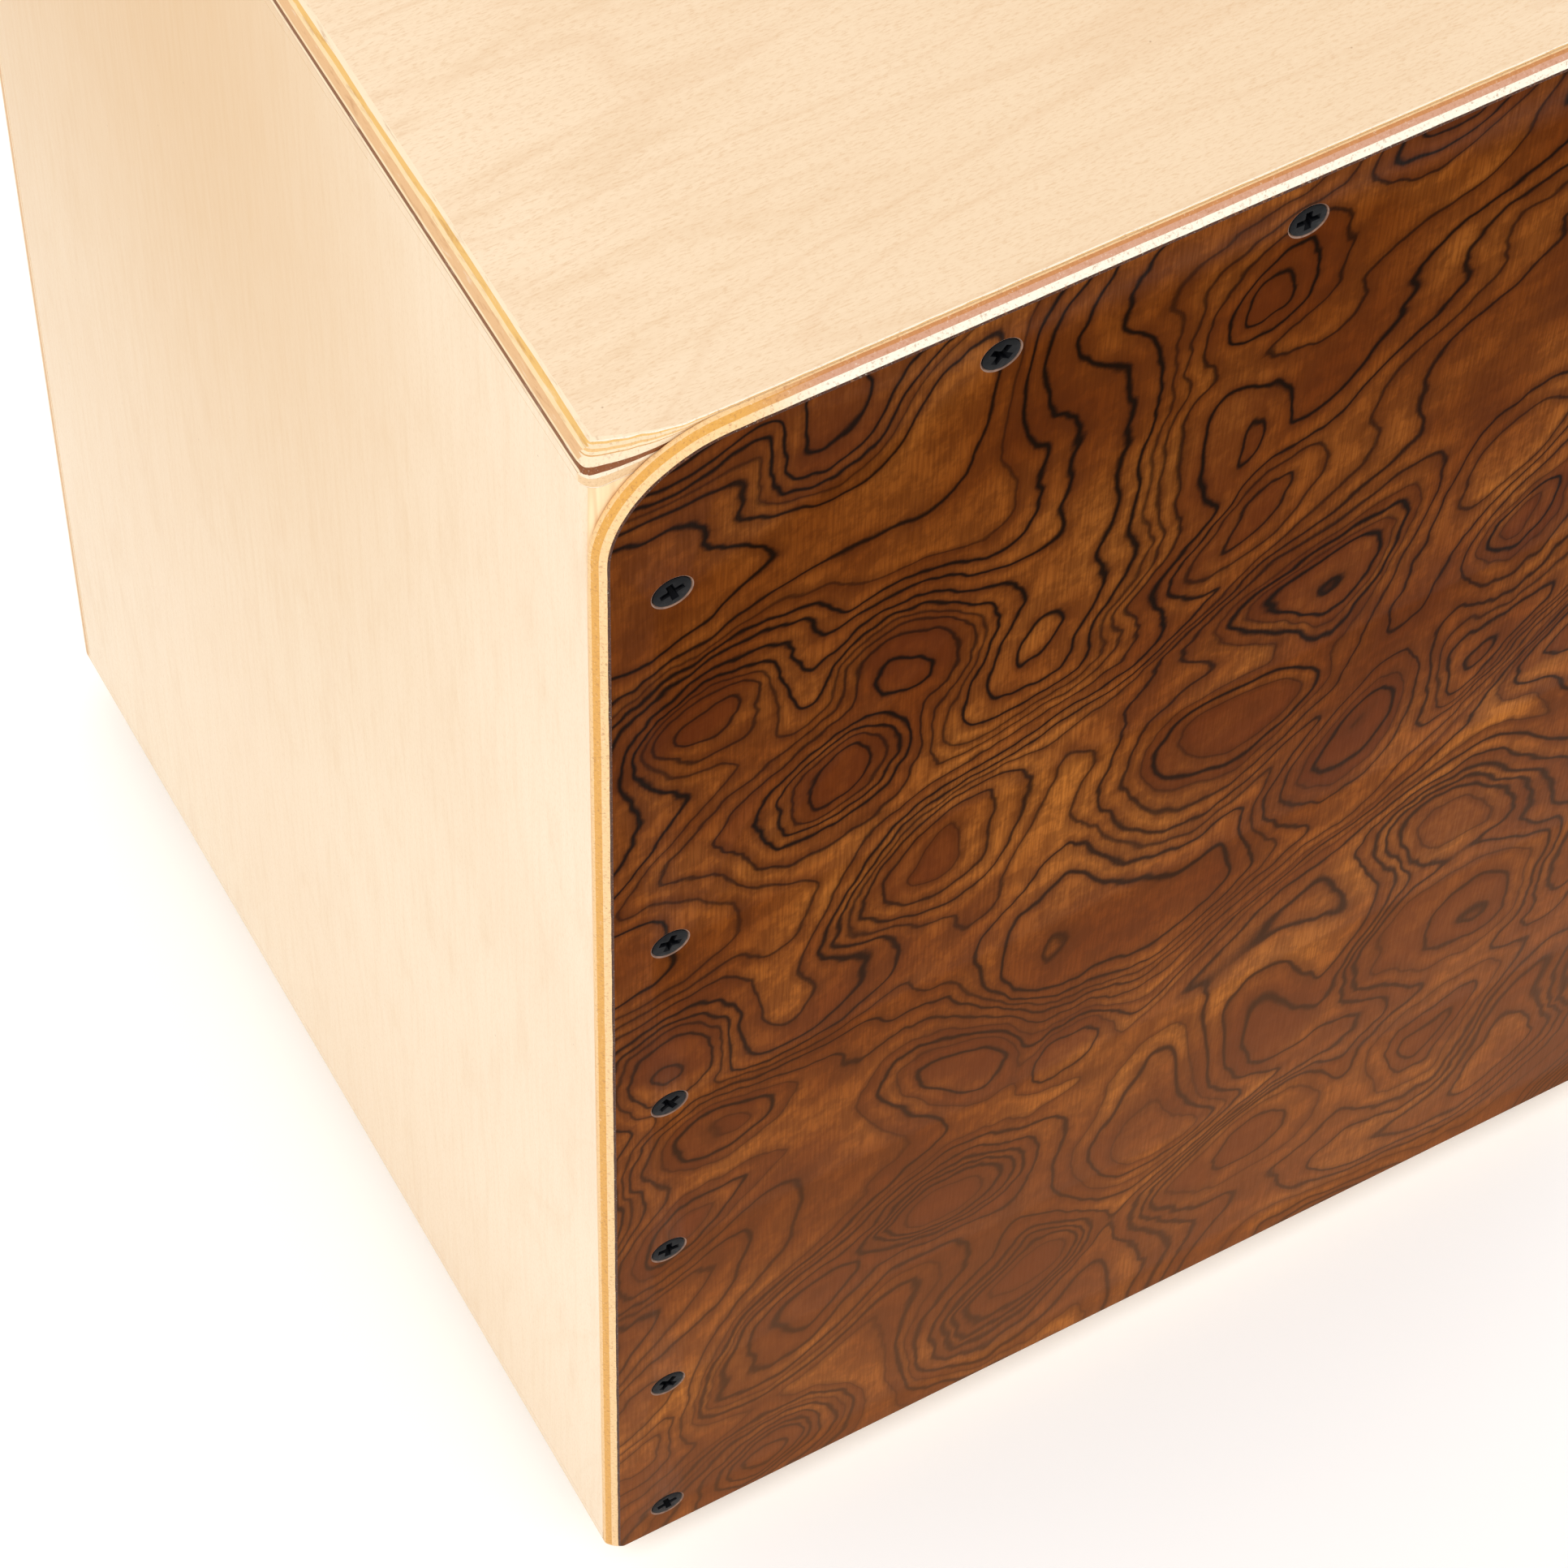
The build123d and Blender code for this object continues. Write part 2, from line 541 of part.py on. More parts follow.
# ---- rubber feet, each held by a washer and a screw in its recess -------------------------
for side_x, hand in ((-1, "left"), (1, "right")):
    for side_y, end in ((-1, "front"), (1, "rear")):
        with BuildPart() as foot:
            centre = (side_x * foot_span_x / 2, side_y * foot_span_y / 2)
            with BuildSketch(Plane.XY):
                with Locations(centre):
                    Circle(FOOT_SOLE_RADIUS)
            with BuildSketch(Plane.XY.offset(FOOT_HEIGHT)):
                with Locations(centre):
                    Circle(FOOT_TOP_RADIUS)
            loft()
            with BuildSketch(Plane.XY):
                with Locations(centre):
                    Circle(FOOT_RECESS_RADIUS)
            extrude(amount=FOOT_HEIGHT - FOOT_WEB, mode=Mode.SUBTRACT)
            with BuildSketch(Plane.XY):
                with Locations(centre):
                    Circle(FOOT_SCREW_SHANK + PILOT_CLEARANCE)
            extrude(amount=FOOT_HEIGHT, mode=Mode.SUBTRACT)
            sole = foot.faces().sort_by(Axis.Z)[0]
            fillet(sole.outer_wire().edges(), radius=FOOT_EDGE_ROUND)
        finish(foot, f"rubber_foot_{end}_{hand}")

with BuildPart() as foot_washers:
    with BuildSketch(Plane.XY.offset(foot_screw_start)):
        with GridLocations(foot_span_x, foot_span_y, 2, 2):
            Circle(WASHER_RADIUS)
            Circle(FOOT_SCREW_SHANK + PILOT_CLEARANCE, mode=Mode.SUBTRACT)
    extrude(amount=WASHER_THICK)
finish(foot_washers, "foot_washers")

foot_screw = pan_screw(FOOT_SCREW_HEAD, FOOT_SCREW_HEAD_HEIGHT, FOOT_SCREW_SHANK, FOOT_SCREW_LENGTH)
with BuildPart() as foot_screws:
    with Locations(Plane(origin=(0, 0, foot_screw_start), x_dir=(1, 0, 0), z_dir=(0, 0, -1))):
        with GridLocations(foot_span_x, foot_span_y, 2, 2):
            add(foot_screw)
finish(foot_screws, "foot_screws")
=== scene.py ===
"""The looks of a snare cajon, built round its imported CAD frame.

Metres, in the frame's own axes: +Z is up and the playing plate faces -Y. Places come from the
CAD nodes' boxes, and the sizes named below are details that the CAD model leaves out.
"""

import math

import bmesh
import bpy
import numpy as np
from mathutils import Matrix, Vector


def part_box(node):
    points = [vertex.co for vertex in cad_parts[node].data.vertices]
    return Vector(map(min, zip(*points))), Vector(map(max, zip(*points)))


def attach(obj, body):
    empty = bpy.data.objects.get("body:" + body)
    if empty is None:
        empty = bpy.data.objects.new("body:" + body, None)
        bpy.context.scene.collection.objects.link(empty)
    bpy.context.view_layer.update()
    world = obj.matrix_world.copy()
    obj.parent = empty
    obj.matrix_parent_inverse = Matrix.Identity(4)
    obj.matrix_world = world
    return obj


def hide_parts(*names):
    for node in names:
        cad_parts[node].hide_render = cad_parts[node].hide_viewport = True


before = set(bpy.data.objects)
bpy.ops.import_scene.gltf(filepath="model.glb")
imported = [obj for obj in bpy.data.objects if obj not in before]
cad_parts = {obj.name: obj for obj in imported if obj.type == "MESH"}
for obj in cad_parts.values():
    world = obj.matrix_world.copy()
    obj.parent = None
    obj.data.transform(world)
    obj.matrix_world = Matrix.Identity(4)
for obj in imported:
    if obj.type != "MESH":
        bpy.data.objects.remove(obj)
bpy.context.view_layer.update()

MM = 0.001

# ---- places read from the frame -----------------------------------------------------------
PLATE_LOW, PLATE_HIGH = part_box("front_plate")
SEAT_LOW, SEAT_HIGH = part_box("top_panel")
SIDE_LOW, SIDE_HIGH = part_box("left_side_panel")
REAR_LOW, REAR_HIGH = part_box("rear_panel")
BOTTOM_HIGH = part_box("bottom_panel")[1]
HALF_WIDTH = PLATE_HIGH.x
FACE_Y = PLATE_LOW.y
PLATE_BACK = PLATE_HIGH.y
SEAT_Z = SEAT_HIGH.z
SOLE_Z = PLATE_LOW.z
INNER_X = -SIDE_HIGH.x
UPPER_LIP = SIDE_HIGH.z
LOWER_LIP = SIDE_LOW.z
REAR_Y = REAR_LOW.y
CEILING = SEAT_LOW.z

# ---- shell details ------------------------------------------------------------------------
TOP_CORNER = 28 * MM
SHELL_ROUND = 4.5 * MM
SHELL_JOINT = 0.12 * MM
SEAT_CORNER = 3.6 * MM
SIDE_PLAIN_FROM = 120 * MM
ARC_STEPS = 10

# ---- front plate details ------------------------------------------------------------------
RIM_WIDTH = 2.8 * MM
RIM_DEPTH = 2.8 * MM
CORNER_STEPS = 28
SINK_RADIUS = 4.4 * MM
SHANK_HOLE = 1.9 * MM
HOLE_STEPS = 40

# Painted light and shade on the veneer: painted shade darkens it upward from the first height, and painted
# light pales it downward from the second.
PAINTED_SHADE_FROM_Z = 200 * MM
PAINTED_LIGHT_TO_Z = PAINTED_SHADE_FROM_Z + 130 * MM
BURL_LEAN = math.radians(50)

# ---- screw details ------------------------------------------------------------------------
HEAD_RADIUS = 4.1 * MM
HEAD_SINK = 0.08 * MM
SHANK_RADIUS = 1.3 * MM
THREAD_RADIUS = 1.75 * MM
THREAD_PITCH = 1.4 * MM
SCREW_LENGTH = 18 * MM
POINT_LENGTH = 3.2 * MM
RECESS_STEPS = [(2.6, 0.76, -0.02), (2.5, 0.68, 0.10), (2.1, 0.60, 0.45), (1.2, 0.46, 1.5), (0.5, 0.2, 2.1)]

# ---- rear, snare and knob details ---------------------------------------------------------
REAR_ROUND = 3.0 * MM
PORT_RADIUS = 60.0 * MM
PORT_LIP = 1.8 * MM
PORT_Z = 282.0 * MM
COIL_RADIUS = 0.8 * MM
WIRE_RADIUS = 0.26 * MM
COIL_PITCH = 1.25 * MM
KNOB_LOBES = 7
KNOB_HOLLOW = 2.6 * MM
KNOB_HUB = 8.0 * MM
KNOB_BORE = 3.05 * MM
KNOB_BORE_DEPTH = 9.9 * MM
KNOB_STEPS = 126
WIRE_COUNT = 12
TURN_STEPS = 10
WIRE_SIDES = 5
INSERT_BORE = 3.06 * MM
LOCK_PITCH = 1.0 * MM
LOCK_POINT = 0.8 * MM
EASE_ANGLE = 40.0

# ---- feet and pan screws, in millimetres --------------------------------------------------
# Radius and height of a foot's outline, from its bore out, down the side and up its recess.
FOOT_PROFILE = [
    (2.1, 9.95), (16.2, 9.95), (16.7, 9.75), (16.95, 9.3), (16.86, 7.6), (16.35, 7.35),
    (16.3, 6.9), (16.7, 6.65), (16.5, 4.9), (16.0, 4.65), (15.95, 4.2), (16.3, 3.95),
    (15.95, 1.5), (15.4, 0.5), (14.5, 0.05), (13.6, 0.0), (9.0, 0.0), (8.4, 0.15),
    (8.1, 0.6), (8.0, 6.0), (2.1, 6.0), (2.1, 9.95),
]
WASHER_PROFILE = [
    (2.1, 0.15), (2.25, 0), (7.2, 0), (7.45, 0.15), (7.5, 0.4), (7.5, 1.0), (7.3, 1.2),
    (2.1, 1.2), (2.1, 0.15),
]
# Head radius, head height, shank radius, length under the head.
FOOT_SCREW = (4.0, 2.3, 2.0, 13.8)
STRAP_SCREW = (2.6, 1.5, 1.25, 10.6)
# Reach, half slot and depth of a pan head's recess, as shares of the head's radius and height.
PAN_RECESS = [(0.42, 0.13, 0.0), (0.40, 0.12, 0.3), (0.14, 0.10, 0.62)]
PAN_DOME = 0.72
PAN_THREAD_ROOT = 0.78
PAN_PITCH = 1.0 * MM
PAN_POINT = 2.5 * MM

# ---- studio: name, place, aim, size, power, colour ------------------------------------------
LIGHTS = [
    ("key", (-1.5, -0.9, 2.4), (0.0, 0.0, 0.3), 1.6, 28.0, (1.0, 0.97, 0.92)),
    ("fill", (1.7, -1.8, 0.9), (0.0, -0.1, 0.2), 1.3, 12.0, (0.93, 0.97, 1.0)),
    ("rim", (0.6, 2.0, 2.4), (0.0, 0.0, 0.4), 1.6, 6.0, (1.0, 0.98, 0.96)),
]
SKY_COLOUR = (1.0, 0.99, 0.975, 1.0)
SKY_STRENGTH = 0.86
FLOOR_REACH = 8.0

# ---- camera -------------------------------------------------------------------------------
CAMERA_AT = Vector((-0.4163, -0.6676, 1.2688))
CAMERA_HEADING = math.radians(30.708)
CAMERA_PITCH = math.radians(57.372)
CAMERA_ROLL = math.radians(2.109)
CAMERA_LENS = 129.8
CAMERA_SENSOR = 36.0

# How much brighter than its base colour a pale surface shows in this studio.
STUDIO_GAIN = 1.17


def tone(red, green, blue):
    """A display colour, 0 to 255, as the linear colour that shaders use."""
    out = []
    for value in (red, green, blue):
        share = value / 255
        out.append(share / 12.92 if share <= 0.04045 else ((share + 0.055) / 1.055) ** 2.4)
    return (*out, 1.0)


def lit(red, green, blue):
    """The base colour that shows as this display colour under the studio's light."""
    return tuple(value / STUDIO_GAIN for value in tone(red, green, blue)[:3]) + (1.0,)


# ==== Materials ===================================================


class Finish:
    """One node material being put together; any input takes a value or another node's output."""

    def __init__(self, name):
        self.material = bpy.data.materials.new(name)
        self.material.use_nodes = True
        self.tree = self.material.node_tree
        self.tree.nodes.clear()
        self.place = self.make("TexCoord", out="Object")

    def feed(self, socket, value):
        """Gives a socket a value, or links another node's output to it."""
        if isinstance(value, bpy.types.NodeSocket):
            self.tree.links.new(value, socket)
        else:
            socket.default_value = value

    def make(self, kind, out=0, settings=None, **inputs):
        node = self.tree.nodes.new("ShaderNode" + kind)
        for key, value in (settings or {}).items():
            setattr(node, key, value)
        for key, value in inputs.items():
            name = int(key[1:]) if key[1:].isdigit() else key.replace("_", " ")
            self.feed(node.inputs[name], value)
        return node.outputs[out]

    def math(self, operation, a, b=0.0, c=0.0, clamp=False):
        settings = {"operation": operation, "use_clamp": clamp}
        return self.make("Math", settings=settings, i0=a, i1=b, i2=c)

    def vector(self, operation, a, b=(0, 0, 0), c=(0, 0, 0)):
        return self.make("VectorMath", settings={"operation": operation}, i0=a, i1=b, i2=c)

    def stretch(self, scale, rotation=(0, 0, 0), shift=(0, 0, 0), source=None):
        source = self.place if source is None else source
        turned = self.make("Mapping", Vector=source, Rotation=rotation, Location=shift)
        return self.make("Mapping", Vector=turned, Scale=scale)

    def noise(self, vector, scale, detail=2.0, roughness=0.5, distortion=0.0, out=0, flat=False):
        settings = {"noise_dimensions": "2D" if flat else "3D"}
        inputs = {"Vector": vector, "Scale": scale, "Detail": detail}
        inputs.update(Roughness=roughness, Distortion=distortion)
        return self.make("TexNoise", out, settings, **inputs)

    def window(self, value, low, high, start=0.0, end=1.0):
        """value from low..high stretched smoothly to start..end and held there."""
        settings = {"interpolation_type": "SMOOTHSTEP", "clamp": True}
        inputs = {"From_Min": low, "From_Max": high, "To_Min": start, "To_Max": end}
        return self.make("MapRange", 0, settings, Value=value, **inputs)

    def ramp(self, factor, stops, interpolation="LINEAR"):
        node = self.tree.nodes.new("ShaderNodeValToRGB")
        node.color_ramp.interpolation = interpolation
        elements = node.color_ramp.elements
        while len(elements) < len(stops):
            elements.new(0.5)
        for element, (place, colour) in zip(elements, stops):
            element.position = place
            element.color = colour
        self.tree.links.new(factor, node.inputs[0])
        return node.outputs[0]

    def mix(self, factor, a, b, blend="MIX"):
        node = self.tree.nodes.new("ShaderNodeMix")
        node.data_type = "RGBA"
        node.blend_type = blend
        for index, value in ((0, factor), (6, a), (7, b)):
            self.feed(node.inputs[index], value)
        return node.outputs[2]

    def axis(self, index, source=None):
        source = self.place if source is None else source
        return self.make("SeparateXYZ", out=index, Vector=source)

    def done(self, colour, roughness, height=None, bump=0.2, depth=0.0002, **constants):
        """Ends the tree in one shader; height is a field of 0 to 1, depth its relief in metres."""
        shader = self.tree.nodes.new("ShaderNodeBsdfPrincipled")
        for key, value in constants.items():
            shader.inputs[key.replace("_", " ")].default_value = value
        self.feed(shader.inputs["Base Color"], colour)
        self.feed(shader.inputs["Roughness"], roughness)
        if height is not None:
            normal = self.make("Bump", Height=height, Strength=bump, Distance=depth)
            self.tree.links.new(normal, shader.inputs["Normal"])
        output = self.tree.nodes.new("ShaderNodeOutputMaterial")
        self.tree.links.new(shader.outputs[0], output.inputs["Surface"])
        return self.material


def burl_eyes(f, place):
    """Distance from the nearest eye, level in its heart and beyond its outermost ring."""
    eyes = f.make(
        "TexVoronoi",
        settings={"feature": "SMOOTH_F1", "voronoi_dimensions": "2D"},
        Vector=place,
        Scale=0.0185,
        Smoothness=0.30,
        Randomness=1.0,
    )
    return f.math("SMOOTH_MIN", f.math("SMOOTH_MAX", eyes, 0.13, 0.10), 0.50, 0.22)


def burl_field(f, place):
    """Height whose whole-number contours are the dark lines: rings round eyes, in long bands."""
    drift = f.noise(place, 0.0125, detail=1.3, roughness=0.4, flat=True)
    sweep = f.math("MULTIPLY", f.axis(1, place), 0.05)
    bands = f.math("MULTIPLY_ADD", drift, 15.0, sweep)
    rise = f.math("MULTIPLY_ADD", burl_eyes(f, place), 15.0, bands)
    bunching = f.math("SINE", f.math("MULTIPLY", rise, 1.35))
    return f.math("MULTIPLY_ADD", bunching, 0.25, rise)


def warp(f, place, scale, reach, detail):
    """Moves each place aside by a smooth random amount of up to about half of reach."""
    aside = f.noise(place, scale, detail=detail, out=1, flat=True)
    aside = f.vector("SUBTRACT", aside, (0.5, 0.5, 0.5))
    return f.vector("MULTIPLY_ADD", aside, (reach, reach, 0.0), place)


WARM_GLOSS = (1.0, 0.55, 0.30, 1.0)


BURL_BASE = [
    (0.28, tone(98, 46, 10)),
    (0.42, tone(128, 66, 18)),
    (0.56, tone(156, 88, 30)),
    (0.68, tone(178, 106, 40)),
]


def burl_veneer():
    """Figured brown veneer: nested dark contour lines flowing round eyes, under a satin coat."""
    f = Finish("burl_veneer")
    across = f.math("MULTIPLY", f.axis(0), 1000.0)
    up = f.math("MULTIPLY", f.axis(2), 1000.0)
    flat = f.make("CombineXYZ", X=across, Y=up, Z=0.0)
    turned = f.stretch((1.0, 1.0, 1.0), rotation=(0, 0, -BURL_LEAN), source=flat)
    flow = f.stretch((0.76, 1.0, 1.0), source=turned)
    bent = warp(f, warp(f, flow, 0.013, 40.0, 1.0), 0.085, 5.0, 2.0)
    step = 0.7
    rise = burl_field(f, bent)
    slope_x = f.math("SUBTRACT", burl_field(f, f.vector("ADD", bent, (step, 0, 0))), rise)
    slope_y = f.math("SUBTRACT", burl_field(f, f.vector("ADD", bent, (0, step, 0))), rise)
    steep = f.math("ADD", f.math("MULTIPLY", slope_x, slope_x), f.math("MULTIPLY", slope_y, slope_y))
    steep = f.math("MAXIMUM", f.math("DIVIDE", f.math("SQRT", steep), step), 0.09)
    away = f.math("DIVIDE", f.math("PINGPONG", rise, 0.5), steep)
    which = f.make("TexWhiteNoise", settings={"noise_dimensions": "1D"}, W=f.math("ROUND", rise))
    band = f.make("TexWhiteNoise", settings={"noise_dimensions": "1D"}, W=f.math("FLOOR", rise))
    ragged = f.noise(flat, 0.9, detail=2.0, flat=True)
    width = f.math("MULTIPLY_ADD", which, 0.5, f.math("MULTIPLY_ADD", ragged, 0.5, 0.34))
    line = f.window(f.math("DIVIDE", away, width), 0.1, 1.0, 1.0, 0.0)
    line = f.math("MULTIPLY", line, f.window(which, 0.0, 0.5, 0.45, 0.96))
    shade = f.math("FRACT", rise)
    hair = f.stretch((1.0, 0.045, 1.0), source=flat)
    fibre = f.noise(hair, 1.7, detail=3.0, roughness=0.62, flat=True)
    zone = f.noise(flow, 0.018, detail=2.0, roughness=0.55, flat=True)
    base = f.ramp(zone, BURL_BASE)
    base = f.mix(f.window(band, 0.3, 1.0, 0.0, 0.55), base, tone(96, 40, 9))
    base = f.mix(f.window(shade, 0.0, 1.0, 0.0, 0.38), base, tone(90, 38, 8))
    base = f.mix(f.window(fibre, 0.34, 0.66, 0.38, 0.0), base, tone(74, 31, 7))
    blotch = f.noise(flow, 0.16, detail=4.0, roughness=0.62, flat=True)
    base = f.mix(f.window(blotch, 0.40, 0.62, 0.42, 0.0), base, tone(70, 31, 8))
    base = f.mix(f.window(burl_eyes(f, bent), 0.16, 0.27, 0.6, 0.0), base, tone(84, 34, 9))
    base = f.mix(f.window(away, 0.3, 2.8, 0.55, 0.0), base, tone(72, 32, 7))
    # Painted shade: the veneer is darkened toward the top, where the light falls off.
    base = f.mix(f.window(f.axis(2), PAINTED_SHADE_FROM_Z, SEAT_Z, 0.0, 0.30), base, tone(58, 22, 1))
    colour = f.mix(line, base, tone(17, 7, 2))
    # Painted light: the veneer is paled toward the bottom, standing in for the brighter, hazier light
    # there.
    painted_light_low = f.window(f.axis(2), SOLE_Z, PAINTED_LIGHT_TO_Z, 0.23, 0.0)
    colour = f.mix(painted_light_low, colour, tone(172, 114, 76))
    roughness = f.window(fibre, 0.3, 0.7, 0.46, 0.36)
    relief = f.math("MULTIPLY_ADD", line, -0.5, fibre)
    gloss = {"Specular_IOR_Level": 0.008, "Specular_Tint": WARM_GLOSS}
    return f.done(colour, roughness, relief, bump=0.10, depth=0.0001, **gloss)


def birch(name, along, pale, mid, deep, streak, painted_shade_tint=None, roughness=0.42):
    """Rotary-cut birch veneer; along is the grain's axis, 0 for X and 2 for Z; the optional darker tint is
    painted shade toward the top and the back.
    """
    f = Finish(name)

    def scales(across, down):
        sizes = [across, across, across]
        sizes[along] = down
        return tuple(sizes)

    grain = f.noise(f.stretch(scales(620.0, 34.0)), 1.0, detail=4.0, roughness=0.66)
    pores = f.noise(f.stretch(scales(2600.0, 620.0)), 1.0, detail=3.0, roughness=0.66)
    figure = f.noise(f.stretch(scales(15.0, 3.4)), 1.0, detail=2.0, roughness=0.5, distortion=0.8)
    rings = f.math("PINGPONG", f.math("MULTIPLY", figure, 9.0), 0.5)
    silk = f.noise(f.stretch(scales(95.0, 24.0)), 1.0, detail=4.0, roughness=0.66)
    cloud = f.noise(f.place, 6.0, detail=2.0, roughness=0.5)
    colour = f.mix(f.window(cloud, 0.3, 0.7), mid, pale)
    colour = f.mix(f.window(silk, 0.35, 0.7, 0.0, 0.55), colour, mid)
    colour = f.mix(f.window(silk, 0.52, 0.72, 0.0, 0.24), colour, deep)
    colour = f.mix(f.window(rings, 0.0, 0.11, 0.13, 0.0), colour, streak)
    colour = f.mix(f.window(grain, 0.46, 0.74, 0.0, 0.17), colour, deep)
    colour = f.mix(f.window(pores, 0.48, 0.70, 0.0, 0.46), colour, deep)
    colour = f.mix(f.window(pores, 0.46, 0.30, 0.0, 0.22), colour, pale)
    # Painted shade: upright faces are tinted darker and warmer toward the top and the back, where the light
    # falls off.
    if painted_shade_tint is not None:
        high = f.window(f.axis(2), 0.06, 0.42)
        back = f.window(f.axis(1), -0.15, 0.04)
        share = f.math("MULTIPLY", high, f.math("MULTIPLY_ADD", back, 0.9, 0.10))
        colour = f.mix(f.math("MULTIPLY", share, 0.9), colour, painted_shade_tint)
    speck = f.make("TexVoronoi", settings={"feature": "F1"}, Vector=f.stretch((82, 96, 82)), Scale=1.0)
    colour = f.mix(f.window(speck, 0.0, 0.03, 0.6, 0.0), colour, tone(142, 98, 62))
    rough = f.window(grain, 0.3, 0.7, roughness - 0.04, roughness + 0.06)
    relief = f.math("MULTIPLY_ADD", pores, 0.6, grain)
    return f.done(colour, rough, relief, bump=0.10, depth=0.00008, Coat_Weight=0.12, Coat_Roughness=0.3)


def ply_lines(f, depth, layers):
    """Bands of colour by depth: layers are (depth in mm where the band ends, colour)."""
    span = layers[-1][0] * 1.02
    starts = [0.0] + [layer[0] for layer in layers[:-1]]
    stops = [(start / span, layer[1]) for start, layer in zip(starts, layers)]
    return f.ramp(f.math("DIVIDE", depth, span), stops, "CONSTANT")


def plies(name, depth_of, layers, grain_scale, other=None, speckle=0.12, waver=0.16):
    """A plywood edge, its bands read off by depth below the face; other is a lit copy of the bands for
    upward edges, with a painted highlight.
    """
    f = Finish(name)
    wobble = f.noise(f.stretch(grain_scale), 0.1, detail=3.0)
    depth = f.math("MULTIPLY_ADD", wobble, waver, f.math("MULTIPLY_ADD", depth_of(f), 1000.0, -waver / 2))
    lines = ply_lines(f, depth, layers)
    # Painted highlight: upward-facing edges past the top corner take the lit copy of the bands.
    if other is not None:
        normal = f.make("NewGeometry", out="Normal")
        upward = f.window(f.axis(2, normal), 0.25, 0.6)
        along = f.window(f.axis(0), TOP_CORNER - HALF_WIDTH, TOP_CORNER * 1.8 - HALF_WIDTH)
        lines = f.mix(f.math("MULTIPLY", upward, along), lines, ply_lines(f, depth, other))
    fibre = f.noise(f.stretch(grain_scale), 1.0, detail=4.0, roughness=0.7)
    colour = f.mix(f.window(fibre, 0.50, 0.72, 0.0, speckle * 3), lines, lit(176, 118, 74))
    colour = f.mix(f.window(fibre, 0.42, 0.28, 0.0, speckle * 2), colour, lit(255, 244, 224))
    return f.done(colour, 0.5, fibre, bump=0.2, depth=0.0001, Specular_IOR_Level=0.25)


def depth_from_face(f):
    """Metres behind the playing face."""
    return f.math("SUBTRACT", f.axis(1), FACE_Y)


def depth_from_seat(f):
    """Metres below the seat."""
    return f.math("SUBTRACT", SEAT_Z, f.axis(2))


def depth_from_sole(f):
    """Metres above the shell's underside."""
    return f.math("SUBTRACT", f.axis(2), SOLE_Z)


def depth_from_back(f):
    """Metres in front of the rear face."""
    return f.math("SUBTRACT", REAR_HIGH.y, f.axis(1))


VENEER_EDGE = tone(66, 32, 14)
PLATE_PLIES = [
    (0.24, VENEER_EDGE),
    (1.25, lit(253, 212, 156)),
    (2.45, lit(232, 172, 84)),
    (3.50, lit(249, 206, 148)),
]
# The rim's bands as they show on upward-facing edges in the light there; the cream band is painted
# near-white as a highlight.
PLATE_PLIES_HIGHLIT_TOP = [
    (0.24, VENEER_EDGE),
    (1.30, lit(255, 246, 226)),
    (2.25, lit(212, 160, 132)),
    (2.90, lit(204, 138, 84)),
    (3.50, lit(244, 202, 148)),
]
SEAT_PLIES = [
    (0.10, lit(253, 232, 200)),
    (0.42, lit(240, 194, 118)),
    (0.80, lit(250, 220, 172)),
    (2.15, lit(232, 188, 140)),
    (2.55, lit(250, 222, 180)),
    (3.45, lit(140, 92, 58)),
    (4.30, lit(252, 228, 192)),
    (4.60, lit(190, 140, 96)),
    (7.20, lit(248, 222, 184)),
    (7.60, lit(254, 240, 218)),
]
REAR_PLIES = [
    (0.60, lit(250, 228, 194)),
    (0.75, lit(226, 176, 120)),
    (1.80, lit(232, 188, 138)),
    (1.95, lit(206, 156, 106)),
    (3.05, lit(250, 230, 198)),
    (3.20, lit(206, 156, 106)),
    (4.30, lit(230, 184, 134)),
    (5.10, lit(248, 224, 190)),
]
# The seat's front edge plies; the first, near-white band is a painted highlight along the rounded edge.
SEAT_PLIES_FRONT = [
    (0.12, lit(255, 244, 224)),
    (0.24, lit(242, 196, 124)),
    (0.52, lit(248, 222, 182)),
    (0.80, lit(240, 196, 134)),
    (1.12, lit(252, 228, 190)),
    (1.26, lit(222, 170, 110)),
    (2.60, lit(252, 230, 196)),
    (3.80, lit(138, 80, 44)),
    (4.70, lit(254, 236, 208)),
    (7.20, lit(242, 206, 160)),
    (7.60, lit(255, 244, 226)),
]


def plain_wood(name, along, pale, deep, roughness=0.5):
    """Solid wood with straight grain along one axis: pine battens, beech."""
    f = Finish(name)
    fine = [420.0, 420.0, 420.0]
    fine[along] = 9.0
    year = [105.0, 105.0, 105.0]
    year[along] = 2.0
    grain = f.noise(f.stretch(tuple(fine)), 1.0, detail=4.0, roughness=0.6)
    growth = f.noise(f.stretch(tuple(year)), 1.0, detail=2.0, distortion=0.4)
    rings = f.math("PINGPONG", f.math("MULTIPLY", growth, 9.0), 0.5)
    colour = f.mix(f.window(rings, 0.05, 0.42, 0.55, 0.0), pale, deep)
    colour = f.mix(f.window(grain, 0.45, 0.75, 0.0, 0.35), colour, deep)
    rough = f.window(grain, 0.3, 0.7, roughness - 0.05, roughness + 0.08)
    return f.done(colour, rough, grain, bump=0.2, depth=0.0001)


def metal(name, colour, dark, roughness, scale=900.0, metallic=1.0, gloss=0.5):
    """Plated or blackened metal with fine tooling marks and a slightly uneven tone."""
    f = Finish(name)
    marks = f.noise(f.stretch((scale, scale, scale)), 1.0, detail=3.0, roughness=0.6)
    stain = f.noise(f.place, 260.0, detail=2.0)
    tint = f.mix(f.window(stain, 0.35, 0.7, 0.0, 0.7), colour, dark)
    rough = f.window(marks, 0.3, 0.7, roughness - 0.07, roughness + 0.08)
    return f.done(tint, rough, marks, bump=0.12, depth=0.00003, Metallic=metallic, Specular_IOR_Level=gloss)


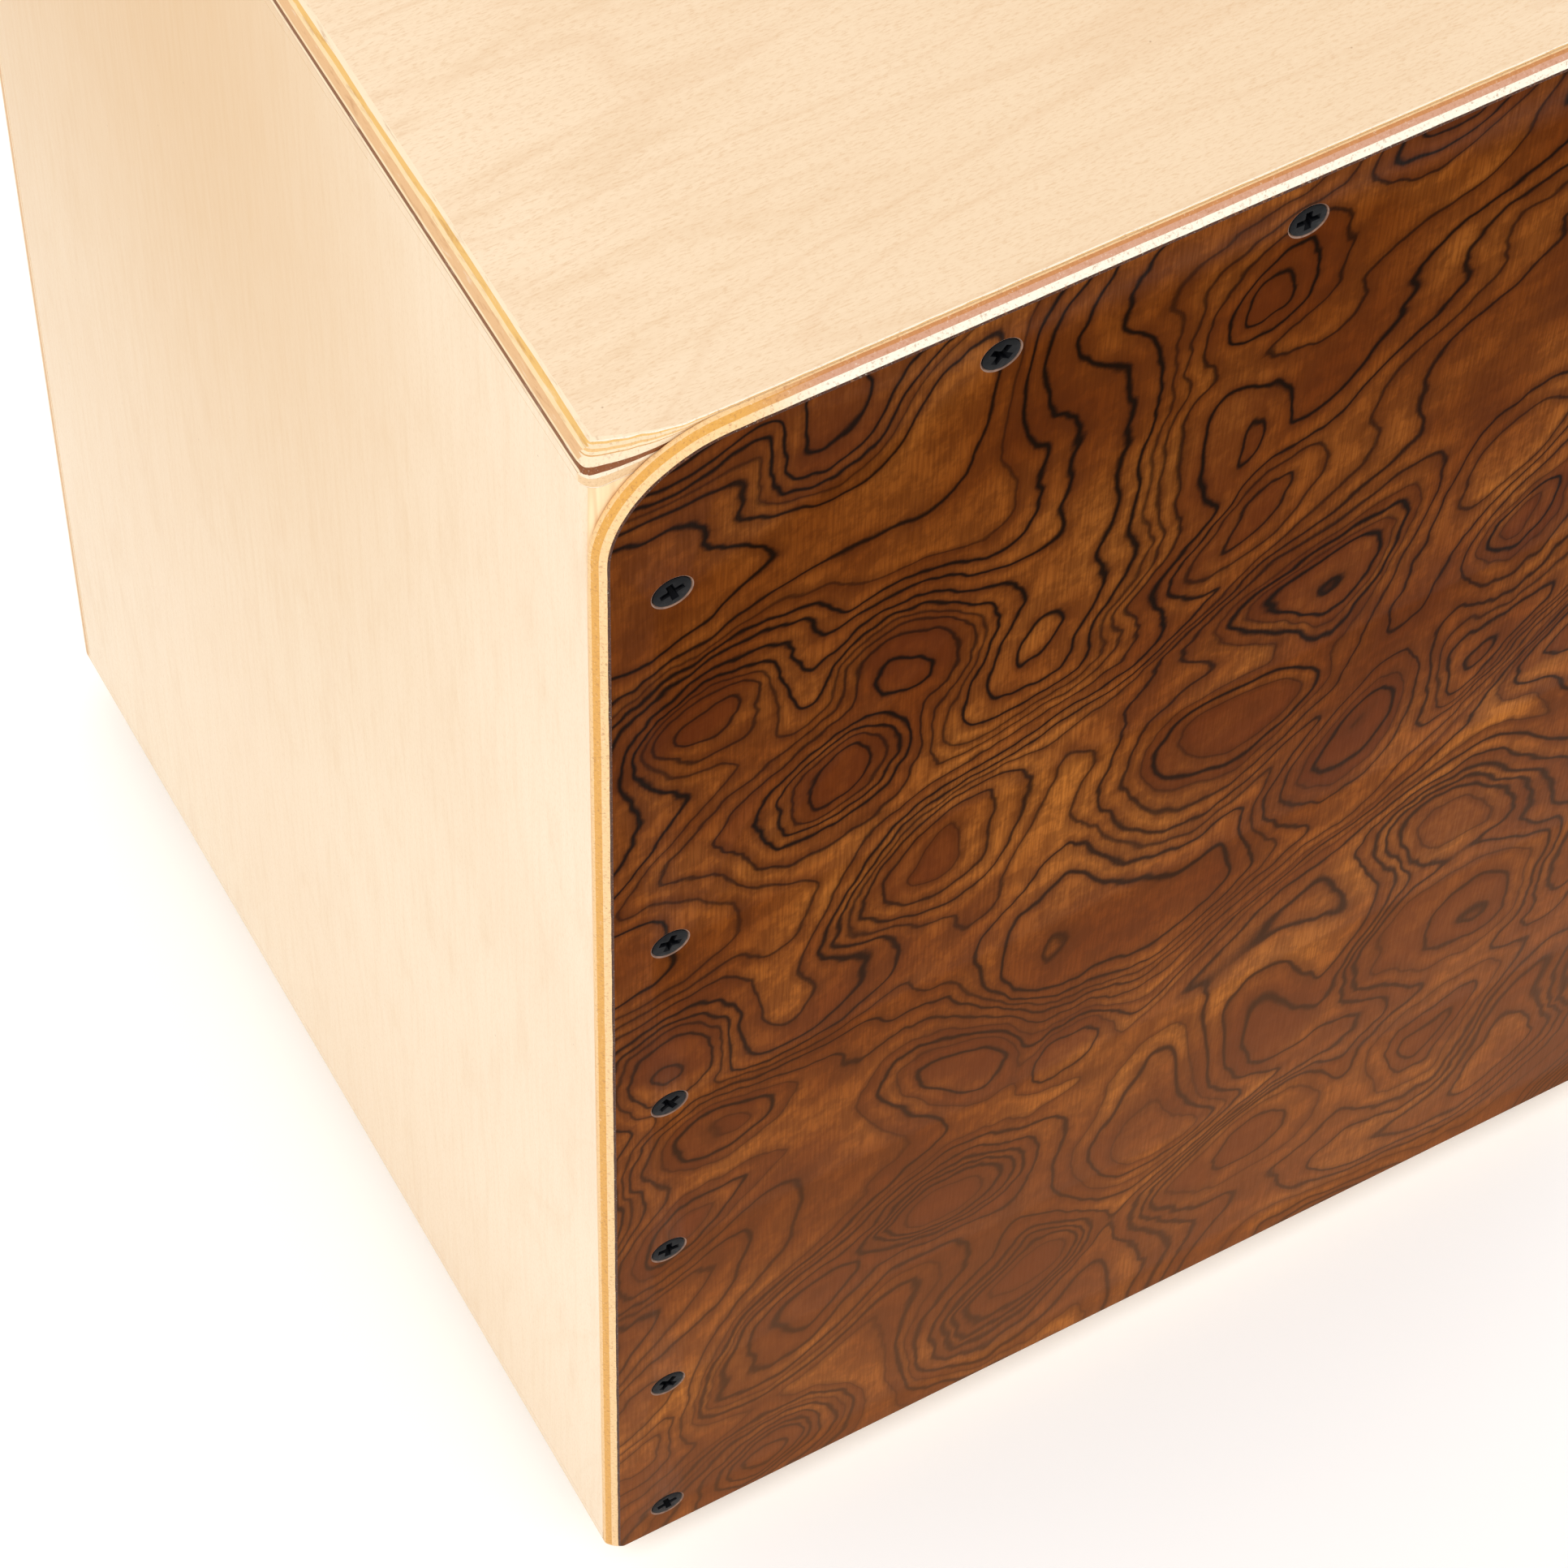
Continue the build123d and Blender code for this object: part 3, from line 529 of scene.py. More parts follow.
def moulded(name, colour, dusty, roughness, scale=1500.0, bump=0.25):
    """Moulded rubber or plastic with a fine spark-eroded texture."""
    f = Finish(name)
    tooth = f.noise(f.stretch((scale, scale, scale)), 1.0, detail=2.0, roughness=0.6)
    patch = f.noise(f.place, 90.0, detail=3.0)
    tint = f.mix(f.window(patch, 0.4, 0.75, 0.0, 0.6), colour, dusty)
    rough = f.window(patch, 0.3, 0.7, roughness, roughness + 0.12)
    return f.done(tint, rough, tooth, bump=bump, depth=0.00006)


# ==== Mesh helpers ================================================


def arc(centre, radius, start, end, steps):
    """Points on a circle in a plane, angles in degrees, both ends included."""
    points = []
    for i in range(steps + 1):
        angle = math.radians(start + (end - start) * i / steps)
        points.append((centre[0] + radius * math.cos(angle), centre[1] + radius * math.sin(angle)))
    return points


def skin(bm, rings, material=0, closed=True):
    """Quads between each ring of vertices and the next."""
    count = len(rings[0])
    for near, far in zip(rings, rings[1:]):
        for i in range(count if closed else count - 1):
            j = (i + 1) % count
            face = bm.faces.new((near[i], near[j], far[j], far[i]))
            face.material_index = material
            face.smooth = True


def ring(bm, points):
    """Vertices at these points."""
    return [bm.verts.new(p) for p in points]


def fill(bm, loops, material=0):
    """A flat face with the first loop as its edge and the others as holes."""
    edges = []
    for loop in loops:
        for i, vert in enumerate(loop):
            following = loop[(i + 1) % len(loop)]
            edges.append(bm.edges.get((vert, following)) or bm.edges.new((vert, following)))
    made = bmesh.ops.triangle_fill(bm, use_beauty=True, use_dissolve=False, edges=edges)
    for item in made["geom"]:
        if isinstance(item, bmesh.types.BMFace):
            item.material_index = material


def piece(name, bm, materials, body, nodes, sharp=32.0):
    """Turns a bmesh into a named piece that rides on a body and stands for CAD nodes."""
    bmesh.ops.remove_doubles(bm, verts=bm.verts, dist=1e-7)
    bmesh.ops.dissolve_degenerate(bm, edges=bm.edges, dist=1e-8)
    bmesh.ops.recalc_face_normals(bm, faces=bm.faces)
    mesh = bpy.data.meshes.new(name)
    bm.to_mesh(mesh)
    bm.free()
    for material in materials:
        mesh.materials.append(material)
    mesh.set_sharp_from_angle(angle=math.radians(sharp))
    made = bpy.data.objects.new(name, mesh)
    bpy.context.scene.collection.objects.link(made)
    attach(made, body)
    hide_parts(*nodes)
    return made


def screw_places():
    """Centre of every front plate screw head, from the islands of the CAD screws' mesh."""
    points = islands("front_plate_screws")
    return sorted((round(p[:, 0].mean(), 6), round(p[:, 2].mean(), 6)) for p in points)


def islands(node):
    """The vertex places of each separate solid in a CAD node, one array each."""
    bm = bmesh.new()
    bm.from_mesh(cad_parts[node].data)
    bmesh.ops.remove_doubles(bm, verts=bm.verts, dist=1e-6)
    seen = set()
    found = []
    for start in bm.verts:
        if start in seen:
            continue
        group = []
        queue = [start]
        seen.add(start)
        while queue:
            vert = queue.pop()
            group.append(tuple(vert.co))
            for edge in vert.link_edges:
                other = edge.other_vert(vert)
                if other not in seen:
                    seen.add(other)
                    queue.append(other)
        found.append(np.array(group))
    bm.free()
    return found


# ==== Shell =======================================================


def plate_outline(inset):
    """The front plate's outline in X and Z, drawn in by inset."""
    half = HALF_WIDTH - inset
    top = SEAT_Z - inset
    low = SOLE_Z + inset
    upper = max(TOP_CORNER - inset, 0.2 * MM)
    lower = max(SHELL_ROUND - inset, 0.2 * MM)
    points = arc((half - upper, top - upper), upper, 0, 90, CORNER_STEPS)
    points += arc((upper - half, top - upper), upper, 90, 180, CORNER_STEPS)
    points += arc((lower - half, low + lower), lower, 180, 270, CORNER_STEPS)
    points += arc((half - lower, low + lower), lower, 270, 360, CORNER_STEPS)
    return points


def rim_profile():
    """(inset, depth) from the plate's back to its face: a broad bevel, barely crowned."""
    profile = [(0.25 * MM, PLATE_BACK - FACE_Y), (0.0, PLATE_BACK - FACE_Y - 0.22 * MM)]
    crown = 0.22 * MM
    steps = 8
    for i in range(steps + 1):
        share = i / steps
        bulge = crown * math.sin(math.pi * share)
        inset = RIM_WIDTH * share - bulge * 0.7
        depth = RIM_DEPTH * (1 - share) - bulge * 0.7
        profile.append((max(inset, 0.0), max(depth, 0.0)))
    profile.append((RIM_WIDTH + 0.15 * MM, 0.0))
    return profile


def front_plate():
    bm = bmesh.new()
    rings = []
    for inset, depth in rim_profile():
        rings.append(ring(bm, [(x, FACE_Y + depth, z) for x, z in plate_outline(inset)]))
    skin(bm, rings, material=1)
    faces = [rings[-1]]
    backs = [rings[0]]
    sink = [
        (SINK_RADIUS + 0.12 * MM, 0.0),
        (SINK_RADIUS, 0.05 * MM),
        (SINK_RADIUS - 0.08 * MM, 0.2 * MM),
        (SHANK_HOLE, SINK_RADIUS - SHANK_HOLE - 0.1 * MM),
        (SHANK_HOLE, PLATE_BACK - FACE_Y),
    ]
    for x, z in screw_places():
        hole = []
        for radius, depth in sink:
            circle = arc((x, z), radius, 0, 360, HOLE_STEPS)[:-1]
            hole.append(ring(bm, [(px, FACE_Y + depth, pz) for px, pz in circle]))
        skin(bm, hole, material=2)
        faces.append(hole[0])
        backs.append(hole[-1])
    fill(bm, faces, material=0)
    fill(bm, backs, material=3)
    materials = [burl_veneer(), plate_edge, sink_wood, birch_upright]
    piece("veneered_front_plate", bm, materials, "shell", ["front_plate"], sharp=50)


def rounded_drop(distance, radius):
    """How far a roundover falls at this distance in from the edge it rounds."""
    reach = max(0.0, radius - max(distance, 0.0))
    return radius - math.sqrt(max(radius * radius - reach * reach, 0.0))


RELIEF_STATIONS = [
    (28.0, 0.5),
    (20.0, 0.8),
    (15.0, 1.9),
    (10.0, 3.5),
    (6.0, 5.0),
    (3.0, 6.3),
    (0.0, 7.4),
]


def relief_at(from_corner):
    """Radius taken off the seat's front edge, by distance from the corner, in metres."""
    places = [s[0] * MM for s in RELIEF_STATIONS][::-1]
    sizes = [s[1] * MM for s in RELIEF_STATIONS][::-1]
    return float(np.interp(from_corner, places, sizes))


def corner_drop(from_side):
    """How far the seat's front edge draws back to round its corners, seen from above."""
    return rounded_drop(from_side, SEAT_CORNER)


def seat_section(x, inner):
    """The seat panel's section at this X as (y, z) points, the front edge first."""
    from_side = HALF_WIDTH - abs(x)
    top = SEAT_Z - rounded_drop(from_side, SHELL_ROUND)
    low = CEILING if inner else UPPER_LIP + SHELL_JOINT
    ease = corner_drop(from_side)
    front = PLATE_BACK + SHELL_JOINT
    radius = relief_at(from_side)
    points = [(REAR_Y - SHELL_JOINT, low), (front + ease, low)]
    for i in range(ARC_STEPS + 1):
        angle = math.radians(90 * i / ARC_STEPS)
        y = front + radius * (1 - math.cos(angle))
        z = SEAT_Z - math.hypot(radius * (1 - math.sin(angle)), SEAT_Z - top)
        points.append((max(y, front + ease * (1.0 - 0.25 * i / ARC_STEPS)), max(z, low + 0.1 * MM)))
    points.append((REAR_Y - SHELL_JOINT, top))
    return points


def seat_stations():
    """X of each section, close together where the edges curve; True inside the side panels."""
    outer = [HALF_WIDTH - SHELL_ROUND * (1 - math.cos(math.radians(a))) for a in range(0, 91, 9)]
    outer += [HALF_WIDTH - d * MM for d in (6.0, 8.0, 10.0)]
    right = [(x, False) for x in outer] + [(INNER_X, False), (INNER_X, True)]
    right += [(HALF_WIDTH - d * MM, True) for d in (13.5, 15.0, 17.5, 20.0, 24.0, 28.0, 40.0)]
    left = [(-x, inner) for x, inner in right]
    return left + right[::-1]


def seat_panel():
    bm = bmesh.new()
    sections = []
    for x, inner in seat_stations():
        sections.append(ring(bm, [(x, y, z) for y, z in seat_section(x, inner)]))
    skin(bm, sections)
    bm.faces.new(sections[0])
    bm.faces.new(sections[-1])
    bmesh.ops.recalc_face_normals(bm, faces=bm.faces)
    for face in bm.faces:
        middle = face.calc_center_median()
        flat_top = face.normal.z > 0.999 and middle.z > SEAT_Z - 0.02 * MM
        side_on = abs(face.normal.x) > 0.999 and abs(middle.x) > HALF_WIDTH - 0.05 * MM
        fronting = face.normal.y < -0.12 and middle.y < PLATE_BACK + 9 * MM
        face.material_index = 0 if flat_top else 2 if side_on else 3 if fronting else 1
    materials = [birch_seat, seat_edge, birch_upright, seat_front_edge]
    piece("seat_panel", bm, materials, "shell", ["top_panel"], sharp=40)


def side_section(side, z):
    """A side panel's outline at this height as (x, y) points."""
    outer = side * HALF_WIDTH
    inner = side * (INNER_X + SHELL_JOINT)
    front = PLATE_BACK + SHELL_JOINT
    back = REAR_Y - SHELL_JOINT
    drop = (UPPER_LIP - z) / (40 * MM)
    ease = (SEAT_CORNER - 0.25 * MM) * max(0.0, 1 - drop) ** 1.5 + 0.25 * MM
    points = [(inner, front), (outer - side * ease, front)]
    for i in range(1, 5):
        angle = math.radians(90 * i / 4)
        reach = ease * (1 - math.sin(angle))
        points.append((outer - side * reach, front + ease * (1 - math.cos(angle))))
    points += [(outer, back - 0.3 * MM), (outer - side * 0.3 * MM, back), (inner, back)]
    return points


def side_panels():
    heights = [LOWER_LIP, LOWER_LIP + 0.1 * MM, UPPER_LIP - SIDE_PLAIN_FROM]
    heights += [UPPER_LIP - d * MM for d in (40, 32, 24, 16, 10, 5, 2, 0)]
    for side, hand in ((-1, "left"), (1, "right")):
        bm = bmesh.new()
        rings = []
        for z in heights:
            rings.append(ring(bm, [(x, y, z) for x, y in side_section(side, z)]))
        skin(bm, rings)
        bm.faces.new(rings[0])
        bm.faces.new(rings[-1])
        bmesh.ops.recalc_face_normals(bm, faces=bm.faces)
        for face in bm.faces:
            edge_on = abs(face.normal.y) > 0.75 or abs(face.normal.z) > 0.75
            face.material_index = 1 if edge_on else 0
        name = f"{hand}_side_panel"
        piece(f"{hand}_side", bm, [birch_upright, side_edge], "shell", [name])


# ==== Screws ======================================================


def cross_outline(reach, half_slot, fillet):
    """A cross recess as points round its centre, its inner corners rounded."""
    points = []
    for quarter in range(4):
        turn = math.radians(90 * quarter)
        local = [(reach, -half_slot), (reach, half_slot)]
        for a in (0, 30, 60, 90):
            along, aside = 1 - math.sin(math.radians(a)), 1 - math.cos(math.radians(a))
            local.append((half_slot + fillet * along, half_slot + fillet * aside))
        for x, y in local:
            points.append(
                (x * math.cos(turn) - y * math.sin(turn), x * math.sin(turn) + y * math.cos(turn))
            )
    return points


def screw_head(bm, turn, centre, to_frame):
    """The head of one countersunk screw: flat top with a rounded rim and a tapered cross recess."""
    profile = [
        (HEAD_RADIUS - 0.22 * MM, 0.0),
        (HEAD_RADIUS - 0.06 * MM, 0.05 * MM),
        (HEAD_RADIUS, 0.18 * MM),
        (HEAD_RADIUS - 0.05 * MM, 0.34 * MM),
        (THREAD_RADIUS, HEAD_RADIUS - THREAD_RADIUS + 0.3 * MM),
        (SHANK_RADIUS, HEAD_RADIUS - THREAD_RADIUS + 0.8 * MM),
    ]
    rings = []
    for radius, depth in profile:
        circle = arc((0, 0), radius, 0, 360, 32)[:-1]
        rings.append(ring(bm, [to_frame(x, depth, z, centre) for x, z in circle]))
    skin(bm, rings)
    recess = []
    for reach, slot, depth in RECESS_STEPS:
        outline = cross_outline(reach * MM, slot * MM, 0.4 * slot * MM)
        turned = [
            (x * math.cos(turn) - z * math.sin(turn), x * math.sin(turn) + z * math.cos(turn))
            for x, z in outline
        ]
        recess.append(ring(bm, [to_frame(x, depth * MM, z, centre) for x, z in turned]))
    skin(bm, recess)
    bm.faces.new(recess[-1])
    fill(bm, [rings[0], recess[0]])
    return rings[-1]


def threaded_shank(bm, start, centre, to_frame):
    """A shank with a helical thread, from the head's last ring to its point."""
    count = len(start)
    begin = HEAD_RADIUS - THREAD_RADIUS + 0.8 * MM
    length = SCREW_LENGTH - begin
    steps = int(length / (THREAD_PITCH / 6))
    rings = [start]
    for i in range(1, steps + 1):
        depth = begin + length * i / steps
        taper = min(1.0, (SCREW_LENGTH - depth) / POINT_LENGTH)
        points = []
        for k in range(count):
            angle = 2 * math.pi * k / count
            phase = (depth / THREAD_PITCH - k / count) % 1.0
            ridge = max(0.0, 1 - abs(phase - 0.5) * 4)
            radius = (SHANK_RADIUS + (THREAD_RADIUS - SHANK_RADIUS) * ridge) * taper
            radius = max(radius, 0.05 * MM)
            points.append(to_frame(radius * math.cos(angle), depth, radius * math.sin(angle), centre))
        rings.append(ring(bm, points))
    skin(bm, rings)
    bm.faces.new(rings[-1])


def plate_screws():
    def to_frame(x, depth, z, centre):
        return (centre[0] + x, FACE_Y + HEAD_SINK + depth, centre[1] + z)

    bm = bmesh.new()
    for i, centre in enumerate(screw_places()):
        turn = math.radians((i * 37 + 11) % 90)
        start = screw_head(bm, turn, centre, to_frame)
        threaded_shank(bm, start, centre, to_frame)
    piece("plate_screws", bm, [black_screw], "shell", ["front_plate_screws"], sharp=28)


# ==== Bottom and rear =============================================


def bottom_section(x, inner):
    """The bottom panel's section at this X as (y, z) points."""
    low = SOLE_Z + rounded_drop(HALF_WIDTH - abs(x), SHELL_ROUND)
    high = BOTTOM_HIGH.z if inner else LOWER_LIP - SHELL_JOINT
    front = PLATE_BACK + SHELL_JOINT
    back = REAR_Y - SHELL_JOINT
    ease = 0.3 * MM
    upper = [(front + ease, high), (back - ease, high), (back, high - ease)]
    return [(front, low), (front, high - ease), *upper, (back, low)]


def bottom_panel():
    bm = bmesh.new()
    sections = []
    for x, inner in seat_stations():
        sections.append(ring(bm, [(x, y, z) for y, z in bottom_section(x, inner)]))
    skin(bm, sections)
    bm.faces.new(sections[0])
    bm.faces.new(sections[-1])
    bmesh.ops.recalc_face_normals(bm, faces=bm.faces)
    for face in bm.faces:
        middle = face.calc_center_median()
        side_on = abs(face.normal.x) > 0.999 and abs(middle.x) > HALF_WIDTH - 0.05 * MM
        level = abs(face.normal.z) > 0.999
        face.material_index = 2 if side_on else 0 if level else 1
    materials = [birch_seat, sole_edge, birch_upright]
    piece("sole_panel", bm, materials, "shell", ["bottom_panel"], sharp=40)


def rear_outline(inset):
    """The rear panel's outline in X and Z, drawn in by inset."""
    half = HALF_WIDTH - inset
    radius = max(SHELL_ROUND - inset, 0.3 * MM)
    points = arc((half - radius, SEAT_Z - inset - radius), radius, 0, 90, ARC_STEPS)
    points += arc((radius - half, SEAT_Z - inset - radius), radius, 90, 180, ARC_STEPS)
    points += arc((radius - half, SOLE_Z + inset + radius), radius, 180, 270, ARC_STEPS)
    points += arc((half - radius, SOLE_Z + inset + radius), radius, 270, 360, ARC_STEPS)
    return points


def rear_panel():
    bm = bmesh.new()
    back = REAR_HIGH.y
    rounding = [(0.25 * MM, REAR_Y), (0.0, REAR_Y + 0.2 * MM)]
    for i in range(ARC_STEPS + 1):
        angle = math.radians(90 * i / ARC_STEPS)
        inset = REAR_ROUND * (1 - math.cos(angle))
        rounding.append((inset, back - REAR_ROUND * (1 - math.sin(angle))))
    rings = [ring(bm, [(x, y, z) for x, z in rear_outline(inset)]) for inset, y in rounding]
    skin(bm, rings, material=1)
    lip = []
    for i in range(ARC_STEPS + 1):
        angle = math.radians(90 * i / ARC_STEPS)
        radius = PORT_RADIUS + PORT_LIP * (1 - math.sin(angle))
        lip.append((radius, back - PORT_LIP * (1 - math.cos(angle))))
    for i in range(ARC_STEPS + 1):
        angle = math.radians(90 * i / ARC_STEPS)
        radius = PORT_RADIUS + PORT_LIP * (1 - math.cos(angle))
        lip.append((radius, REAR_Y + PORT_LIP * (1 - math.sin(angle))))
    port = []
    for radius, y in lip:
        circle = arc((0.0, PORT_Z), radius, 0, 360, 128)[:-1]
        port.append(ring(bm, [(x, y, z) for x, z in circle]))
    skin(bm, port, material=2)
    fill(bm, [rings[-1], port[0]], material=0)
    fill(bm, [rings[0], port[-1]], material=0)
    materials = [birch_back, rear_edge, port_edge]
    piece("rear_board", bm, materials, "shell", ["rear_panel"], sharp=40)


# ==== Feet, lock knob, snares =====================================


def lathe(bm, profile, place, steps, material=0):
    """Turns (radius, height) points about a matrix's Z axis; gives the rings of vertices."""
    rings = []
    for radius, height in profile:
        circle = arc((0.0, 0.0), max(radius, 0.01 * MM), 0, 360, steps)[:-1]
        rings.append(ring(bm, [place @ Vector((x, y, height)) for x, y in circle]))
    skin(bm, rings, material)
    return rings


def rubber_feet():
    """Tapered rubber feet with two moulded grooves and the recess for the washer and screw."""
    for node in ("front_left", "front_right", "rear_left", "rear_right"):
        low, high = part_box("rubber_foot_" + node)
        bm = bmesh.new()
        place = Matrix.Translation(((low.x + high.x) / 2, (low.y + high.y) / 2, low.z))
        lathe(bm, [(r * MM, h * MM) for r, h in FOOT_PROFILE], place, 64)
        piece("foot_" + node, bm, [rubber], "shell", ["rubber_foot_" + node], sharp=50)


def knob_radius(angle, radius, depth):
    """A lobed grip's outline: rounded lobes with narrower hollows between them."""
    wave = 0.5 - 0.5 * math.cos(KNOB_LOBES * angle)
    return radius - depth * (1 - wave) ** 1.6


def lock_knob():
    """A seven-lobed clamping knob along Y: hub, grip with rounded edges and a sunk cap."""
    low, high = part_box("lock_knob")
    centre = Vector(((low.x + high.x) / 2, 0, (low.z + high.z) / 2))
    length = high.y - low.y
    outer = min(high.x - low.x, high.z - low.z) / 2 - 0.1 * MM
    hub = KNOB_HUB
    stations = [
        (KNOB_BORE, 0.0, 0.0),
        (hub - 0.4 * MM, 0.0, 0.0),
        (hub, 0.0, 0.4 * MM),
        (hub, 0.0, 4.2 * MM),
        (hub + 1.2 * MM, 0.0, 5.0 * MM),
        (outer - 2.0 * MM, 0.7, 5.1 * MM),
        (outer - 0.5 * MM, 0.95, 5.7 * MM),
        (outer, 1.0, 6.8 * MM),
        (outer, 1.0, length - 2.6 * MM),
        (outer - 0.35 * MM, 0.97, length - 1.2 * MM),
        (outer - 1.3 * MM, 0.85, length - 0.3 * MM),
        (outer - 3.0 * MM, 0.6, length),
        (9.0 * MM, 0.0, length),
        (8.6 * MM, 0.0, length - 0.2 * MM),
        (8.5 * MM, 0.0, length - 0.9 * MM),
        (8.2 * MM, 0.0, length - 0.7 * MM),
        (4.0 * MM, 0.0, length - 0.55 * MM),
        (0.4 * MM, 0.0, length - 0.5 * MM),
    ]
    bm = bmesh.new()
    rings = []
    for radius, share, along in stations:
        points = []
        for k in range(KNOB_STEPS):
            angle = 2 * math.pi * k / KNOB_STEPS
            reach = knob_radius(angle, radius, KNOB_HOLLOW * share)
            x, z = centre.x + reach * math.cos(angle), centre.z + reach * math.sin(angle)
            points.append((x, low.y + along, z))
        rings.append(ring(bm, points))
    bore = [
        ring(bm, [(v.co.x, low.y + KNOB_BORE_DEPTH, v.co.z) for v in rings[0]]),
        rings[0],
    ]
    skin(bm, bore)
    skin(bm, rings)
    bm.faces.new(rings[-1])
    bm.faces.new(bore[0])
    piece("clamp_knob", bm, [plastic], "lock_knob", ["lock_knob"], sharp=40)


def lying_along(points):
    """A matrix at a screw's head, its Z from the point to the head, from the solid's vertices."""
    middle = points.mean(0)
    axis = np.linalg.svd(points - middle)[2][0]
    along = (points - middle) @ axis
    spread = np.linalg.norm(points - middle - np.outer(along, axis), axis=1)
    if along[spread.argmax()] < 0:
        axis = -axis
        along = -along
    head = middle + axis * along.max()
    turn = Vector((0, 0, 1)).rotation_difference(Vector(axis)).to_matrix().to_4x4()
    return Matrix.Translation(Vector(head)) @ turn


def pan_screw(bm, place, head, height, shank, length):
    """A domed screw with a cross recess and a helical thread, its head's top at the matrix."""
    dome = []
    for a in range(32, 91, 7):
        drop = -height * PAN_DOME * (1 - math.cos(math.radians(a)))
        dome.append((head * math.sin(math.radians(a)), drop))
    profile = dome + [(head, -height * 0.80), (head - 0.12 * MM, -height), (shank, -height)]
    rings = lathe(bm, profile, place, 32)
    brim = dome[0][1]
    recess = []
    for share, slot, depth in PAN_RECESS:
        outline = cross_outline(head * share, head * slot, head * 0.06)
        recess.append(ring(bm, [place @ Vector((x, y, brim - height * depth)) for x, y in outline]))
    skin(bm, recess)
    bm.faces.new(recess[-1])
    fill(bm, [rings[0], recess[0]])
    end = -height - length
    thread(bm, rings[-1], place, -height, end, shank, PAN_THREAD_ROOT, PAN_PITCH, PAN_POINT)


def thread(bm, start, place, begin, end, radius, root, pitch, point):
    """A helical thread along the matrix's Z; root is the core's share of the radius."""
    count = len(start)
    steps = int(abs(end - begin) / (pitch / 5))
    rings = [start]
    for i in range(1, steps + 1):
        height = begin + (end - begin) * i / steps
        taper = min(1.0, abs(end - height) / point + 0.04)
        points = []
        for k in range(count):
            angle = 2 * math.pi * k / count
            phase = (height / pitch + k / count) % 1.0
            ridge = max(0.0, 1 - abs(phase - 0.5) * 2.6)
            reach = radius * (root + (1 - root) * ridge) * taper
            points.append(place @ Vector((reach * math.cos(angle), reach * math.sin(angle), height)))
        rings.append(ring(bm, points))
    skin(bm, rings)
    bm.faces.new(rings[-1])


def strap_screws():
    bm = bmesh.new()
    for points in islands("snare_strap_screws"):
        pan_screw(bm, lying_along(points), *(size * MM for size in STRAP_SCREW))
    piece("strap_pan_screws", bm, [zinc], "snare_bar", ["snare_strap_screws"], sharp=32)


def foot_hardware():
    """The screws in the feet's recesses, and the washers under their heads."""
    bm = bmesh.new()
    for points in islands("foot_screws"):
        pan_screw(bm, lying_along(points), *(size * MM for size in FOOT_SCREW))
    piece("foot_pan_screws", bm, [zinc], "shell", ["foot_screws"], sharp=32)
    bm = bmesh.new()
    for points in islands("foot_washers"):
        middle = (points.min(0) + points.max(0)) / 2
        place = Matrix.Translation((middle[0], middle[1], points[:, 2].min()))
        lathe(bm, [(r * MM, h * MM) for r, h in WASHER_PROFILE], place, 48)
    piece("foot_plate_washers", bm, [zinc], "shell", ["foot_washers"], sharp=32)


def lock_hardware():
    """The lock's threaded stem and the brass insert that it runs in."""
    low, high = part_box("lock_stem")
    radius = (high.x - low.x) / 2
    along = Matrix.Rotation(math.radians(90), 4, "X")
    place = Matrix.Translation(((low.x + high.x) / 2, high.y, (low.z + high.z) / 2)) @ along
    bm = bmesh.new()
    start = lathe(bm, [(radius * 0.5, 0.0), (radius * 0.86, 0.0)], place, 32)
    bm.faces.new(start[0])
    thread(bm, start[-1], place, 0.0, high.y - low.y, radius, 0.84, LOCK_PITCH, LOCK_POINT)
    piece("threaded_stem", bm, [zinc], "lock_knob", ["lock_stem"], sharp=32)
    low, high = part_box("lock_insert")
    outer = (high.x - low.x) / 2
    length = high.y - low.y
    place = Matrix.Translation(((low.x + high.x) / 2, high.y, (low.z + high.z) / 2)) @ along
    bore = INSERT_BORE
    section = [(bore, 0.5 * MM), (bore + 0.5 * MM, 0.0), (outer - 0.3 * MM, 0.0), (outer, 0.3 * MM)]
    section += [(outer, length - 0.4 * MM), (outer - 0.4 * MM, length), (bore, length), (bore, 0.5 * MM)]
    bm = bmesh.new()
    lathe(bm, section, place, 48)
    piece("brass_insert", bm, [brass], "shell", ["lock_insert"], sharp=32)


def coil(bm, start, end, coil_radius, wire_radius, pitch):
    """One snare wire: a close helix between two points, its ends capped."""
    axis = (end - start).normalized()
    side = axis.cross(Vector((1, 0, 0.3))).normalized()
    other = axis.cross(side)
    length = (end - start).length
    count = int(length / pitch * TURN_STEPS)
    rings = []
    for i in range(count + 1):
        share = i / count
        angle = 2 * math.pi * i / TURN_STEPS
        outward = side * math.cos(angle) + other * math.sin(angle)
        middle = start + axis * (length * share) + outward * coil_radius
        tangent = (axis * (pitch / (2 * math.pi)) + axis.cross(outward) * coil_radius).normalized()
        across = tangent.cross(outward).normalized()
        points = []
        for k in range(WIRE_SIDES):
            turn = 2 * math.pi * k / WIRE_SIDES
            points.append(middle + (outward * math.cos(turn) + across * math.sin(turn)) * wire_radius)
        rings.append(ring(bm, points))
    skin(bm, rings)
    bm.faces.new(rings[0])
    bm.faces.new(rings[-1])


